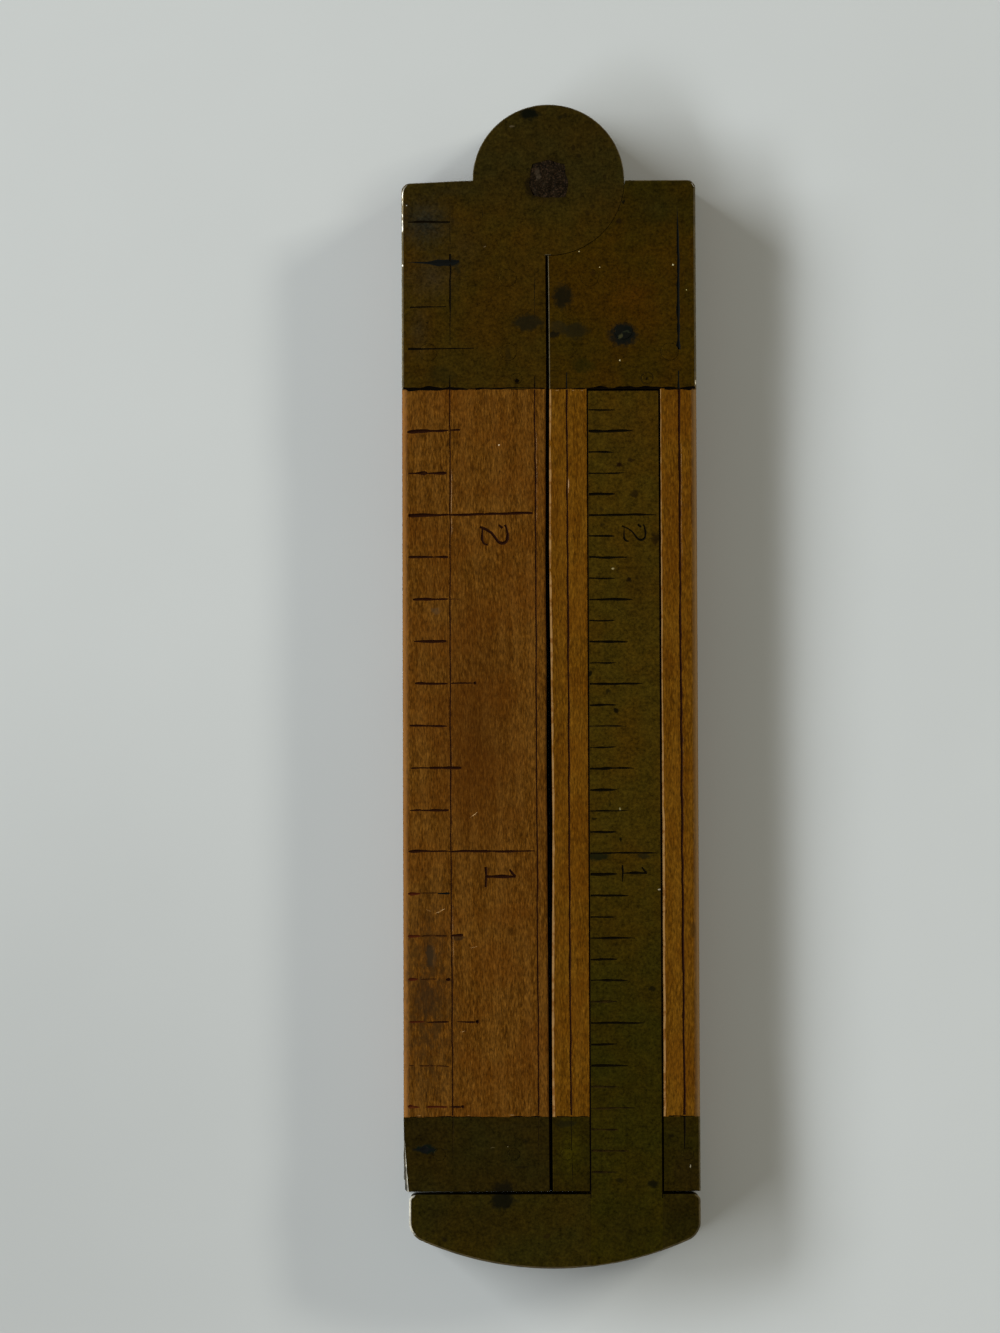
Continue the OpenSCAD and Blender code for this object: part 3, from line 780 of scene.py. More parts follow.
tickLook = {
    'reach': 3.5,                              # over which a tick rises
    'broad': 1.25,
    'shift': {8: 0.07, 7: 0.1, 6: 0.08, 3: -0.12},   # lower ticks off their true places
}

plainLines = {
    'outerLine': [(22.2, -7.5), (10, -7.52), (-1, -7.53), (-18, -7.48), (-32.4, -7.42)],
    'innerLine': [(22.2, -1.09), (-1, -1.05), (-32.4, -1.0)],
}
caliperLines = {
    'innerLine': [(22.2, 1.31), (-1, 1.36), (-32.4, 1.43)],
    'outerLine': [(22.2, 9.8), (-1, 9.83), (-32.4, 9.93)],
}


def lineStroke(places, width, seed, ends=(1, 1)):
    points = [(x, height) for height, x in places]
    widths = [(0, width * ends[0]), (0.1, width), (0.9, width), (1, width * ends[1])]
    return stroke(points, widths, shake=0.05, step=0.5, seed=seed, uneven=0.3)


# Painted highlight on a groove's lit wall beside stretches of a line, as (from y, to y, width)
def grooveHighlightStrokes(line, aside, stretches):
    made = []
    for top, low, width in stretches:
        part = [(x + aside, y) for x, y, _ in line if low < y < top]
        count = len(part) - 1
        made.append([(x, y, max(0.03, width * min(1, 4 * i / count, 4 * (count - i) / count)))
                     for i, (x, y) in enumerate(part)])
    return made


def tickStrokes(ticks, ink):
    made = []
    for eighth, (rise, cuts) in ticks.items():
        y = rule['end'] + eighth * rule['inch'] / 8 + tickLook['shift'].get(eighth, 0)
        slope = rise / tickLook['reach']
        for i, (start, end, width, endWidth, *kind) in enumerate(cuts):
            if (kind or ['dark'])[0] == ink:
                points = [(x - rule['outer'], y - rise / 2 + slope * x) for x in (start, end)]
                width, endWidth = width * tickLook['broad'], endWidth * tickLook['broad']
                widths = [(0, width * 0.6), (0.12, width), (0.88, endWidth), (1, endWidth * 0.6)]
                made.append(stroke(points, widths, shake=0.05, step=0.2, seed=eighth * 3 + i, uneven=0.35))
    return made


# 0 for a whole unit of a scale, then 1, 2 and 3 for its halves, quarters and eighths, and 4 for the rest
def rankOf(i, per):
    for rank in range(4):
        if 2 ** rank * i % per == 0:
            return rank
    return 4


# Regular scale for the backs: so many to the inch from the leg's end, with lengths by rank
def scaleStrokes(per, startX, way, lengths, y, width, seed=0):
    first = math.ceil((y[0] - rule['end']) * per / rule['inch'])
    last = math.floor((y[1] - rule['end']) * per / rule['inch'])
    made = []
    for i in range(first, last + 1):
        height = rule['end'] + i * rule['inch'] / per
        wear = 1 + 0.2 * noise.noise(Vector((i * 1.7, seed, 0)))
        slope = 0.02 * noise.noise(Vector((i, seed, 3)))
        points = [(startX, height), (startX + way * lengths[rankOf(i, per)], height + slope)]
        widths = [(0, width * 0.7 * wear), (0.2, width * wear), (0.85, width), (1, width * 0.5)]
        made.append(stroke(points, widths, shake=0.03, step=0.5, seed=seed + i))
    return made


backScale = {
    'margin': 0.4,
    'sixteenths': [8, 5.33, 4.1, 3.3, 2.2],    # lengths by rank
    'tenths': [2, 2, 1.3, 1.3, 1.3],
    'tickLine': 3.7,
    'width': 0.15,
    'figureHeight': 2.2,
    'figureFoot': {1: 6.2, 2: 5.95},
    'figureDrop': {1: 1.2, 2: 0.8},
}


def engraveBack(piece, side, y, ink, first=0):
    look = backScale
    outer = side * (rule['outer'] - look['margin'])
    inner = side * (rule['inner'] + look['margin'])
    lineX = side * (rule['outer'] - look['tickLine'])
    line = lineStroke([(y[1] + 0.3, lineX), (y[0] - 0.3, lineX)], look['width'], 5 + first)
    sixteenths = scaleStrokes(16, outer, -side, look['sixteenths'], y, look['width'], 20 + first)
    tenths = scaleStrokes(10, inner, side, look['tenths'], y, look['width'] * 0.9, 60 + first)
    engrave(piece, [line], ink, 0)
    engrave(piece, sixteenths[::2] + tenths[1::2], ink, 0)
    engrave(piece, sixteenths[1::2] + tenths[::2], ink, 0)


def engraveBackFigures(piece, side, ink):
    look = backScale
    for n in (1, 2):
        foot = side * (rule['outer'] - look['figureFoot'][n])
        start = rule['end'] + n * rule['inch'] - side * look['figureDrop'][n]
        number = n if side < 0 else 6 - n
        strokes = figureStrokes(number, foot, start, look['figureHeight'], look['width'], -side, -side, n)
        engrave(piece, strokes, ink, 0, turns=3)


# A dark line along a seam, dirt in the joint and painted shade in its gap, uneven in width, as (x, width)
# pairs
def seamStroke(y, pairs, seed):
    start, end = pairs[0][0], pairs[-1][0]
    widths = [((x - start) / (end - start), width) for x, width in pairs]
    return stroke([(start, y), (end, y)], widths, shake=0.07, step=0.13, seed=seed, uneven=0.9)


# Chips that left pale wood along a seam
def chipStrokes(y, chips, seed):
    return [stroke([(x, y), (x + reach, y + 0.02)], [0.03, width, 0.03], 0.05, 0.1, seed + i)
            for i, (x, reach, width) in enumerate(chips)]


stockEdges = {'outerRound': 0.55, 'innerRound': 0.16}


def roundStockEdges(stock, side):
    def along(a, b):
        return near(a.z, b.z) and (near(a.z, 0) or near(a.z, rule['thick'])) and abs(a.y - b.y) > 0.01

    roundEdges(stock, lambda a, b: along(a, b) and both(a, b, lambda co: onOuter(co, side)),
               stockEdges['outerRound'], 5)
    roundEdges(stock, lambda a, b: along(a, b) and both(a, b, lambda co: onInner(co, side)),
               stockEdges['innerRound'], 4)


plainWood = woodMaterial(
    'plainWood', rubSide=-1, grimeSide=(-9.2, -24, 3, 12, 0.75),
    places=[
        (-5.6, -4, 5, 16, 0.85, (59, 29, 3)),
        (-9.12, -20.4, 0.34, 1.1, 0.95, (24, 18, 10)),
        (-6.9, -19.0, 0.6, 0.3, 0.7, (40, 27, 14)),
        (-9.4, -23.6, 0.9, 1.6, 0.5, (44, 30, 14)),
        (-9.0, -20.4, 0.5, 1.0, 0.5, (66, 48, 26)),
        (-3.76, 18.06, 0.08, 0.08, 0.95, (214, 190, 150)),
        (-8.6, 5.5, 0.5, 0.4, 0.4, (70, 58, 40)),
    ])
caliperWood = woodMaterial(
    'caliperWood', rubSide=1, rub=(140, 112, 74), contrast=0.85, cast=(1.08, 1.11, 0.55),
    places=[
        (10.6, -18.5, 0.3, 0.7, 0.5, (58, 38, 12)),
        (10.3, 13.4, 0.5, 0.25, 0.4, (70, 42, 10)),
    ])


# A leg's stock with everything but its lines
def addStock(side, wood, slots):
    stock = addLegBlank('stock', side, (rule['end'], rule['shoulder']), wholeZ)
    giveSkins(stock, wood)
    cutJoint(stock)
    cutTipRebate(stock)
    for z in slots:
        cutLeafSlot(stock, side, z)
    drill(stock, side, 'rivets', 'brads', 'tipPins')
    if side > 0:
        cutGroove(stock, (rule['end'] - past, rule['plateFoot']))
    roundStockEdges(stock, side)
    darkenFold(stock, side)
    return stock


def finishStock(stock, side, first=0):
    engraveBack(stock, side, (rule['tipTop'] + 0.1, rule['plateFoot'] - 0.1), woodInk, first)
    engraveBackFigures(stock, side, woodInk)
    finishLegPiece(stock, side, 'wood', 'stock', 'boxwood')


footSeam, tipSeam = rule['plateFoot'] - 0.01, rule['tipTop'] + 0.01


# Dark lines along seams: dirt with painted shade
def darkenSeams(piece, *seams):
    engrave(piece, [seamStroke(*seam) for seam in seams], seamDirtAndShade)


def makePlainStock():
    stock = addStock(-1, plainWood, [(leafLow.z, leafHigh.z)])
    inks = {'dark': woodInk, 'faint': faintInk, 'rust': rustInk, 'black': blackInk}
    for kind, ink in inks.items():
        engrave(stock, tickStrokes(plainTicks, kind), ink, turns=3)
    outerLine = lineStroke(plainLines['outerLine'], 0.13, 31)
    innerLine = lineStroke(plainLines['innerLine'], 0.14, 33)
    engrave(stock, [outerLine, innerLine], woodInk)
    engrave(stock, figureStrokes(2, -5.26, 11.98, 2.12, 0.25, seed=2), woodInk, turns=3)
    engrave(stock, figureStrokes(1, -4.95, -13.75, 2.3, 0.27, seed=5), woodInk, turns=3)
    # painted highlight along the lit walls of the long lines
    pale = grooveHighlightStrokes(
        outerLine, 0.12, [(18, 9.3, 0.08), (3.4, 0.6, 0.05), (-3, -8, 0.06), (-14.6, -23, 0.07)])
    pale += grooveHighlightStrokes(innerLine, 0.11, [(22.1, 9.4, 0.07), (7.8, -5, 0.05)])
    engrave(stock, pale, grooveWallHighlight, depth=0.35)
    cutMarks(
        stock, scratchedWood,
        ([(-8.95, -17.3), (-8.4, -17.15), (-7.9, -16.85)],
         [(0, 0.05), (0.6, 0.14), (1, 0.05)], 0.08, 0.13, 7),
        ([(-9.7, -16.9), (-9.35, -16.95), (-9.02, -17.1)], [0.04, 0.08], 0.05, 0.12, 8),
        ([(-6.6, -10.3), (-6.1, -10.1), (-5.6, -9.75), (-5.28, -9.38)], [0.04, 0.09, 0.04], 0.04, 0.15, 9),
        ([(-6.55, -19.95), (-5.9, -19.85), (-4.98, -19.64)], [0.03, 0.08, 0.03], 0.05, 0.15, 10),
        ([(-7.1, -26.3), (-6.2, -25.95)], [0.03, 0.08, 0.03], 0.05, 0.15, 11),
        depth=0.35, turns=5)
    left, right = -rule['outer'] + 0.15, innerEdgeAt(-1, 22) - 0.1
    darkenSeams(stock, (footSeam, [(left, 0.16), (-9.5, 0.2), (-7, 0.08), (right, 0.07)], 71),
               (tipSeam, [(left, 0.08), (-6, 0.1), (right, 0.12)], 83))
    chips = [(-10.2, 0.5, 0.1), (-6.4, 0.35, 0.09), (-4.9, 0.3, 0.08), (-3.3, 0.6, 0.1), (-1.9, 0.3, 0.08)]
    engrave(stock, chipStrokes(tipSeam + 0.12, chips, 85), paleWoodAndSheen, depth=0.4)
    finishStock(stock, -1)


# Sharp edges that have worn to narrow chamfers, wider towards the tip; their pale colour is partly painted
# highlight where they face the lamps
lipWearAndSheen = {
    'right': [(0, 0.14), (0.4, 0.2), (0.62, 0.36), (1, 0.34)],
    'inner': [0.34, 0.32, 0.38],
}


def makeCaliperStock():
    slots = []
    for leaf in ('caliper_leg_front_leaf', 'caliper_leg_back_leaf'):
        low, high = cadBox(leaf)
        slots.append((low.z, high.z + past) if low.z > rule['thick'] / 2 else (low.z - past, high.z))
    stock = addStock(1, caliperWood, slots)
    innerLine = lineStroke(caliperLines['innerLine'], 0.17, 41)
    outerLine = lineStroke(caliperLines['outerLine'], 0.2, 43)
    engrave(stock, [innerLine, outerLine], woodInk)
    # pale chamfers on the groove's right lip and the inner edge: wear with painted highlight
    lip = teeSection['right'] + teeSection['rightGap']
    points = [(lip, 22.2), (lip, -32.5)]
    cutMarks(stock, paleWoodAndSheen, (points, lipWearAndSheen['right'], 0.04, 0.8, 51, 0.25), depth=0.6)
    heights = [22.2 - i * 3.04 for i in range(19)]
    points = [(innerEdgeAt(1, y), y) for y in heights]
    cutMarks(stock, paleWoodAndSheen, (points, lipWearAndSheen['inner'], 0.03, 0.8, 53, 0.25), depth=0.6)
    # painted highlight along the lit walls of the long lines
    pale = grooveHighlightStrokes(outerLine, 0.15, [(21.8, 5, 0.07), (0, -14, 0.06)])
    pale += grooveHighlightStrokes(innerLine, 0.12, [(16, 14, 0.12), (5, 1.4, 0.06)])
    engrave(stock, pale, grooveWallHighlight, depth=0.35)
    left = teeSection['left'] - teeSection['leftGap']
    darkenSeams(stock, (footSeam, [(lip + 0.3, 0.16), (rule['outer'] - 0.2, 0.2)], 92),
               (tipSeam, [(lip + 0.35, 0.1), (rule['outer'] - 0.2, 0.1)], 93),
               (footSeam, [(0.25, 0.08), (left - 0.1, 0.1)], 94),
               (tipSeam, [(0.35, 0.1), (left - 0.1, 0.1)], 95))
    chips = [(0.35, 0.5, 0.12), (1.6, 0.4, 0.12), (2.3, 0.35, 0.1)]
    engrave(stock, chipStrokes(footSeam - 0.12, chips, 96), paleWoodAndSheen, depth=0.4)
    finishStock(stock, 1, 7)


makePlainStock()
makeCaliperStock()


# Hinge pin with rough, squarish, hammered heads
pinLook = {'half': 1.46, 'square': 0.4, 'shaft': 1.34, 'sink': 0.005, 'fall': 0.015, 'pit': 0.14}


# The outline of a pin's head as a block from z to z, grown by a share
def addHead(z, grow=1):
    y, half, square = rule['hinge'], pinLook['half'], pinLook['square']
    clearSelection()
    bpy.ops.mesh.primitive_grid_add(
        x_subdivisions=36, y_subdivisions=36, size=2 * half, location=(0, y, z[0]))
    head = settle('head')
    openWhole(head)
    bpy.ops.mesh.extrude_region_move(TRANSFORM_OT_translate={'value': (0, 0, z[1] - z[0])})
    bpy.ops.mesh.select_all(action='SELECT')
    bpy.ops.mesh.normals_make_consistent(inside=False)
    closeEdit()
    for vertex in head.data.vertices:
        away = Vector((vertex.co.x, vertex.co.y - y, 0))
        reach = max(abs(away.x), abs(away.y))
        if reach > 1e-6:
            ring = 1 - square + square * away.length / reach
            ring *= 1 + 0.13 * noise.noise(away.normalized() * 1.5 + Vector((5.2, 0.6, 3.3)))
            away *= grow * reach * ring / away.length
            vertex.co.x, vertex.co.y = away.x, y + away.y
    return head


# Pits the outer face of a head, which faces up or down
def hammer(head, faceZ, up):
    for vertex in head.data.vertices:
        if near(vertex.co.z, faceZ):
            away = Vector((vertex.co.x, vertex.co.y - rule['hinge'], 0)).length / pinLook['half']
            spot = Vector((vertex.co.x * 2.1, vertex.co.y * 2.1, faceZ))
            pit = noise.noise(spot) * 0.6 + noise.noise(spot * 2.7) * 0.4
            sink = pinLook['sink'] + pinLook['fall'] * max(0, away - 0.85) / 0.15
            vertex.co.z -= up * (sink + pinLook['pit'] * max(0, pit + 0.12))


def makePin():
    thin, thick = rule['plateThick'], rule['thick']
    pin = addPost('pin', (0, rule['hinge']), pinLook['shaft'], (thin / 2, thick - thin / 2), 48)
    for z, faceZ, up in (((thick - thin, thick), thick, 1), ((0, thin), 0, -1)):
        head = addHead(z)
        hammer(head, faceZ, up)
        combine(pin, head, 'UNION')
    giveSkins(pin, ironMaterial())
    finishPiece(pin, 'hinge_pin_iron', 'plain_leg', 'pin_iron', 'hinge_pin')


makePin()


# Brass plates of the joint

plateEdges = {
    'outline': 0.07,
    'outer': 0.16,
    'seam': 0.035,                             # gap round the disc
    'seamRound': 0.015,
    'besideDisc': {1: 0.1, -1: 0.3},           # rounding where the shoulder meets the disc
    'headRoom': 1.003,
}

leftPatches = [
    (-9.4, 34.8, 2.9, 2.8, 0.98, (24, 31, 29)),
    (-8.8, 30.8, 3, 2.6, 0.8, (44, 36, 23)),
    (-6.3, 33, 2.6, 3, 0.7, (42, 32, 12)),
    (-9.8, 26.8, 1.3, 3.2, 0.8, (44, 35, 18)),
    (0.5, 40.5, 4.5, 3.2, 0.4, (42, 31, 6)),
    (0.2, 42.6, 3.6, 1.8, 0.6, (35, 28, 5)),
    (-1.6, 31.5, 3, 4, 0.4, (54, 36, 5)),
    (-7.5, 37.2, 2.8, 0.5, 0.5, (28, 25, 13)),
]
leftSpots = [
    (-1.4, 43.1, 0.95, 0.6, 0.95, (13, 15, 8)),
    (-1.6, 27.3, 1.5, 0.75, 0.85, (28, 25, 13)),
    (-2.5, 22.85, 0.26, 0.24, 0.95, (8, 5, 2)),
    (-7.3, 31.75, 0.7, 0.4, 0.7, (25, 26, 17)),
    (-6.9, 31.2, 0.3, 0.4, 0.5, (30, 28, 14)),
    (0, 38.1, 2.0, 2.0, 0.5, (30, 20, 9)),
    # painted shadow beside the pin head's left side
    (-1.3, 37.6, 0.7, 1.1, 0.6, (16, 11, 7)),
    (1.9, 40.6, 0.2, 0.2, 0.6, (22, 15, 4)), (2.6, 37.0, 0.22, 0.2, 0.5, (24, 15, 4)),
    (4.3, 38.4, 0.2, 0.3, 0.5, (24, 16, 4)), (3.0, 35.6, 0.3, 0.24, 0.5, (24, 16, 4)),
    (1.2, 43.0, 0.3, 0.25, 0.5, (24, 20, 6)), (-3.1, 24.9, 0.3, 0.9, 0.35, (30, 24, 8)),
    (2.3, 40.0, 0.25, 0.2, 0.6, (22, 16, 5)),
    (3.4, 36.1, 0.25, 0.25, 0.5, (22, 14, 5)),
    (-8.1, 23.3, 1.4, 0.9, 0.4, (34, 30, 8)),
    (0.9, 42.9, 0.22, 0.25, 0.6, (22, 20, 8)),
    (-2.8, 42.2, 0.26, 0.1, 0.6, (96, 84, 60)),
    (-4.9, 33.0, 0.14, 0.05, 0.8, (110, 96, 70)),
    (-9.2, 27.2, 0.1, 0.1, 0.8, (20, 14, 5)),
    # painted glint on the rounded free edge
    (-10.75, 36.2, 0.05, 0.05, 0.95, (230, 225, 205)),
]
rightPatches = [
    (6.4, 29.2, 3.4, 3.4, 0.9, (62, 34, 1)),
    (10.45, 30.5, 0.7, 8, 0.6, (42, 34, 5)),
    (8.2, 36, 2.8, 2, 0.6, (34, 31, 8)),
    (7, 33.5, 2.4, 1.2, 0.4, (36, 32, 3)),
    (2.2, 24.8, 2.4, 2.2, 0.5, (40, 33, 4)),
]
rightSpots = [
    (1.1, 29.3, 1.0, 1.15, 0.92, (24, 21, 10)),
    (2.0, 26.7, 1.2, 0.8, 0.8, (32, 28, 13)),
    (0.7, 26.9, 0.9, 0.75, 0.6, (38, 33, 17)),
    (0.35, 26.3, 0.6, 0.28, 0.85, (18, 17, 10)),
    (5.6, 26.35, 1.35, 1.15, 0.94, (14, 19, 17)),
    (2.6, 24.0, 1.1, 0.7, 0.5, (32, 31, 4)),
    (5.4, 26.25, 0.26, 0.26, 0.8, (66, 64, 38)),
    (5.85, 26.5, 0.4, 0.1, 0.5, (48, 52, 34)),
    (5.71, 36.49, 0.16, 0.16, 0.9, (14, 12, 5)),
    (5.3, 35.0, 0.3, 0.3, 0.7, (28, 18, 6)),
    (2.3, 32.6, 0.06, 0.06, 0.95, (214, 196, 140)),
    (3.9, 31.4, 0.05, 0.05, 0.95, (200, 180, 120)),
    (9.4, 31.6, 0.08, 0.08, 0.95, (220, 210, 160)),
    (10.4, 29.7, 0.05, 0.05, 0.95, (200, 190, 120)),
    (5.4, 24.4, 0.06, 0.06, 0.95, (214, 200, 150)),
    (3.35, 31.0, 0.25, 0.3, 0.5, (36, 20, 6)),
    (7.4, 23.0, 0.12, 0.12, 0.9, (14, 9, 3)),
]
leftBrass = brassMaterial('leftPlateBrass', (49, 35, 4), (40, 32, 7), (36, 2.5), leftPatches, leftSpots)
rightBrass = brassMaterial(
    'rightPlateBrass', (49, 34, 2), (40, 31, 3), (34.5, 1.5), rightPatches, rightSpots)
backBrass = brassMaterial('backPlateBrass', (47, 36, 6))


def roundPlateEdges(plate, side, faceZ):
    def away(co):
        return math.hypot(co.x, co.y - rule['hinge'])

    def seam(co):
        inLeg = side > 0 or co.x > 0 and co.y < rule['shoulder'] + 0.3
        return near(away(co), rule['discRadius'], 0.04) and inLeg

    def dull(co):
        inner = side < 0 and onInner(co, side)
        return near(co.y, rule['plateFoot']) or away(co) < rule['discRadius'] - 1 or inner

    def free(co):
        return near(co.x, side * rule['outer'], 0.2) and co.y < rule['shoulder'] - 1

    def outline(a, b):
        return onFace(faceZ)(a, b) and not any(both(a, b, test) for test in (dull, free, seam))

    # outer and outline bevels take slot 1, rubbed brass with painted highlight
    roundEdges(plate, onFace(faceZ, lambda co: onOuter(co, side)), plateEdges['outer'], 3, 1)
    roundEdges(plate, outline, plateEdges['outline'], 2, 1)
    roundEdges(plate, onFace(faceZ, seam), plateEdges['seamRound'], 1, 0)


def addPlate(side, skin, front=True):
    z, faceZ = (frontPlateZ, rule['thick']) if front else (backPlateZ, 0)
    throughPlate = (z[0] - past, z[1] + past)
    hinge, radius = (0, rule['hinge']), rule['discRadius']
    plate = addLegBlank('plate', side, (rule['plateFoot'], rule['shoulder']), z)
    if side < 0:
        combine(plate, addPost('disc', hinge, radius - 0.005, z, 192), 'UNION')
    else:
        cutPost(plate, hinge, radius + plateEdges['seam'], throughPlate, 192)
    roundEdges(plate, uprightAt(side * radius, rule['shoulder']), plateEdges['besideDisc'][side], 6)
    giveSkins(plate, skin, rubbedEdgeSheen)
    if side < 0:
        combine(plate, addHead(throughPlate, plateEdges['headRoom']))
    roundPlateEdges(plate, side, faceZ)
    drill(plate, side, 'rivets', 'brads')
    darkenFold(plate, side)
    return plate


# The visible part of the ring round a rivet or a brad
def ringStroke(x, y, radius, width, start, end, seed):
    points = arcPoints(x, y, radius, start, end, 24)
    return stroke(points, [width * 0.5, width, width * 0.5], 0.02, 0.12, seed, uneven=0.8)


plateMarks = [
    stroke([(-10.62, 34.92), (-9.6, 34.95), (-7.45, 34.93)], [(0, 0.12), (0.3, 0.2), (1, 0.15)], seed=101),
    stroke([(-10.48, 28.46), (-7.75, 28.5)], [0.14, 0.15, 0.1], seed=102),
    stroke([(-10.64, 25.3), (-5.66, 25.34)], [0.18, 0.15, 0.08], seed=103),
]


plateSeam = rule['plateFoot'] + 0.05


def makePlainFrontPlate():
    plate = addPlate(-1, leftBrass)
    engrave(plate, plateMarks, brassInk)
    cutMarks(
        plate, blackInk,
        ([(-10.63, 31.85), (-9.2, 31.84), (-7.2, 31.85), (-6.75, 31.95)],
         [(0, 0.1), (0.35, 0.22), (0.62, 0.5), (0.85, 0.6), (1, 0.2)], 0.03, 0.15, 104),
        depth=0.35)
    cutMarks(
        plate, brassInk,
        ([(-7.42, 32.5), (-7.47, 25.6)], [(0, 0.2), (0.25, 0.18), (0.7, 0.12), (1, 0.06)], 0.04, 0.4, 105),
        ([(-7.48, 23.3), (-7.5, 22.2)], [0.1, 0.16], 0.03, 0.3, 106),
        ([(-1.09, 23.2), (-1.09, 22.2)], [0.08, 0.14], 0.03, 0.3, 107))
    cutMarks(
        plate, faintBrassInk,
        ([(-7.45, 36.6), (-7.44, 33.2)], [0.05, 0.1, 0.06], 0.04, 0.4, 108),
        ([(-1.07, 31.4), (-1.09, 27.5)], [0.06, 0.09, 0.06], 0.03, 0.4, 109),
        ([(-5.0, 36.1), (-5.0, 35.3)], [0.05, 0.08], 0.03, 0.2, 110))
    left, right = -rule['outer'] + 0.1, innerEdgeAt(-1, 22) - 0.08
    darkenSeams(plate, (plateSeam, [(left, 0.2), (-9, 0.28), (-7, 0.12), (right, 0.12)], 116))
    # a bright rim down the free edge: worn brass with painted highlight
    edge = -rule['outer'] + 0.03
    cutMarks(
        plate, wornEdgeHighlight,
        ([(edge + 0.42, 37.78), (edge + 0.12, 37.5), (edge, 37.1), (edge, 30.2)],
         [(0, 0.05), (0.1, 0.14), (0.5, 0.17), (1, 0.05)], 0.02, 0.25, 117, 0.6),
        ([(edge, 31.9), (edge, 31.4)], [0.05, 0.24, 0.05], 0.02, 0.1, 118),
        depth=0.9, turns=2)
    finishLegPiece(plate, -1, 'front_brass', 'front_plate')


def makeCaliperFrontPlate():
    plate = addPlate(1, rightBrass)
    cutMarks(
        plate, blackInk,
        ([(9.72, 36.1), (9.78, 32), (9.74, 25.2)], [(0, 0.05), (0.35, 0.24), (0.8, 0.24), (1, 0.3)],
         0.05, 0.35, 111),
        ([(9.74, 23.6), (9.76, 22.2)], [0.12, 0.22], 0.03, 0.3, 112),
        ([(1.31, 23.5), (1.31, 22.2)], [0.08, 0.14], 0.03, 0.3, 113))
    rings = [ringStroke(7.4125, 23.043, 0.47, 0.12, -20, 320, 142),
             ringStroke(9.1125, 25.043, 0.68, 0.06, 90, 300, 143)]
    engrave(plate, rings, faintBrassInk)
    cutMarks(plate, faintBrassInk, ([(1.25, 31.5), (1.3, 27.6)], [0.04, 0.07, 0.05], 0.03, 0.4, 114))
    darkenSeams(plate, (plateSeam, [(0.1, 0.1), (3.2, 0.12), (3.8, 0.26), (rule['outer'] - 0.1, 0.22)], 119))
    # a bright rim down the free edge: worn brass with painted highlight
    edge = rule['outer'] - 0.02
    cutMarks(
        plate, wornEdgeHighlight,
        ([(edge - 0.25, 37.85), (edge - 0.04, 37.5), (edge, 36), (edge, 22.4)],
         [(0, 0.05), (0.1, 0.12), (0.6, 0.1), (0.94, 0.1), (1, 0.2)], 0.02, 0.4, 120, 0.7),
        depth=0.9)
    finishLegPiece(plate, 1, 'front_brass', 'front_plate')


def makeBackPlates():
    y = (rule['plateFoot'] + 0.1, rule['hinge'] - rule['discRadius'] - 0.3)
    for side, first in ((-1, 11), (1, 13)):
        plate = addPlate(side, backBrass, front=False)
        engraveBack(plate, side, y, brassInk, first)
        finishLegPiece(plate, side, 'back_brass', 'back_plate')


makePlainFrontPlate()
makeCaliperFrontPlate()
makeBackPlates()


# Brass tips, folded over the ends of the legs

tipLook = {
    'outline': 0.03,
    'outer': 0.12,
    # how far the plain leg's corner is worn back, by height
    'wear': {-34.4: 0.05, -36.2: 0.13, -37.4: 0.2, rule['end']: 0.26},
}
plainTipBrass = brassMaterial(
    'plainTipBrass', (35, 28, 5), places=[
        (-9.8, -34.0, 2.8, 2.8, 0.9, (26, 20, 4)), (-2.4, -33.2, 2.4, 0.6, 0.5, (28, 24, 8))],
    spots=[
        (-9.5, -34.92, 1.0, 0.42, 0.95, (13, 22, 17)),
        (-3.7, -38.1, 1.1, 1.1, 0.85, (20, 17, 8)),
        (-2.26, -36.3, 0.6, 0.1, 0.6, (22, 18, 6)),
        (-2.0, -34.3, 0.3, 0.25, 0.5, (22, 18, 6)),
        (-3.4, -34.7, 0.06, 0.06, 0.9, (130, 118, 84)),
        (-4.4, -34.8, 0.22, 0.04, 0.7, (100, 88, 56)),
    ])
caliperTipBrass = brassMaterial(
    'caliperTipBrass', (36, 29, 3), places=[
        (1.4, -35, 1.8, 3.4, 0.95, (52, 46, 2)), (10.2, -36.5, 1.4, 1.8, 0.5, (33, 24, 5))],
    spots=[
        (8.9, -33.9, 0.2, 0.2, 0.7, (20, 15, 4)),
        (10.35, -36.2, 0.06, 0.14, 0.9, (160, 150, 120)),
        (1.0, -33.0, 1.0, 0.35, 0.6, (26, 25, 12)),
    ])


def addTipBlank(side, skin):
    tip = addLegBlank('tip', side, (rule['end'], rule['tipTop']), wholeZ)
    giveSkins(tip, skin, rubbedEdgeSheen)
    thin = rule['tipThick']
    cutBlock(tip, acrossRule, (rule['end'] + thin, rule['tipTop'] + past), (thin, rule['thick'] - thin))
    return tip


def roundTipEdges(tip, side):
    for z in (0, rule['thick']):
        # outer bevels take slot 1, rubbed brass with painted highlight
        roundEdges(tip, onFace(z, lambda co: onOuter(co, side)), tipLook['outer'], 3, 1)
        roundEdges(tip, onFace(z, lambda co: co.y < rule['end'] + 0.02 or onInner(co, side)),
                   tipLook['outline'], 1, 0)


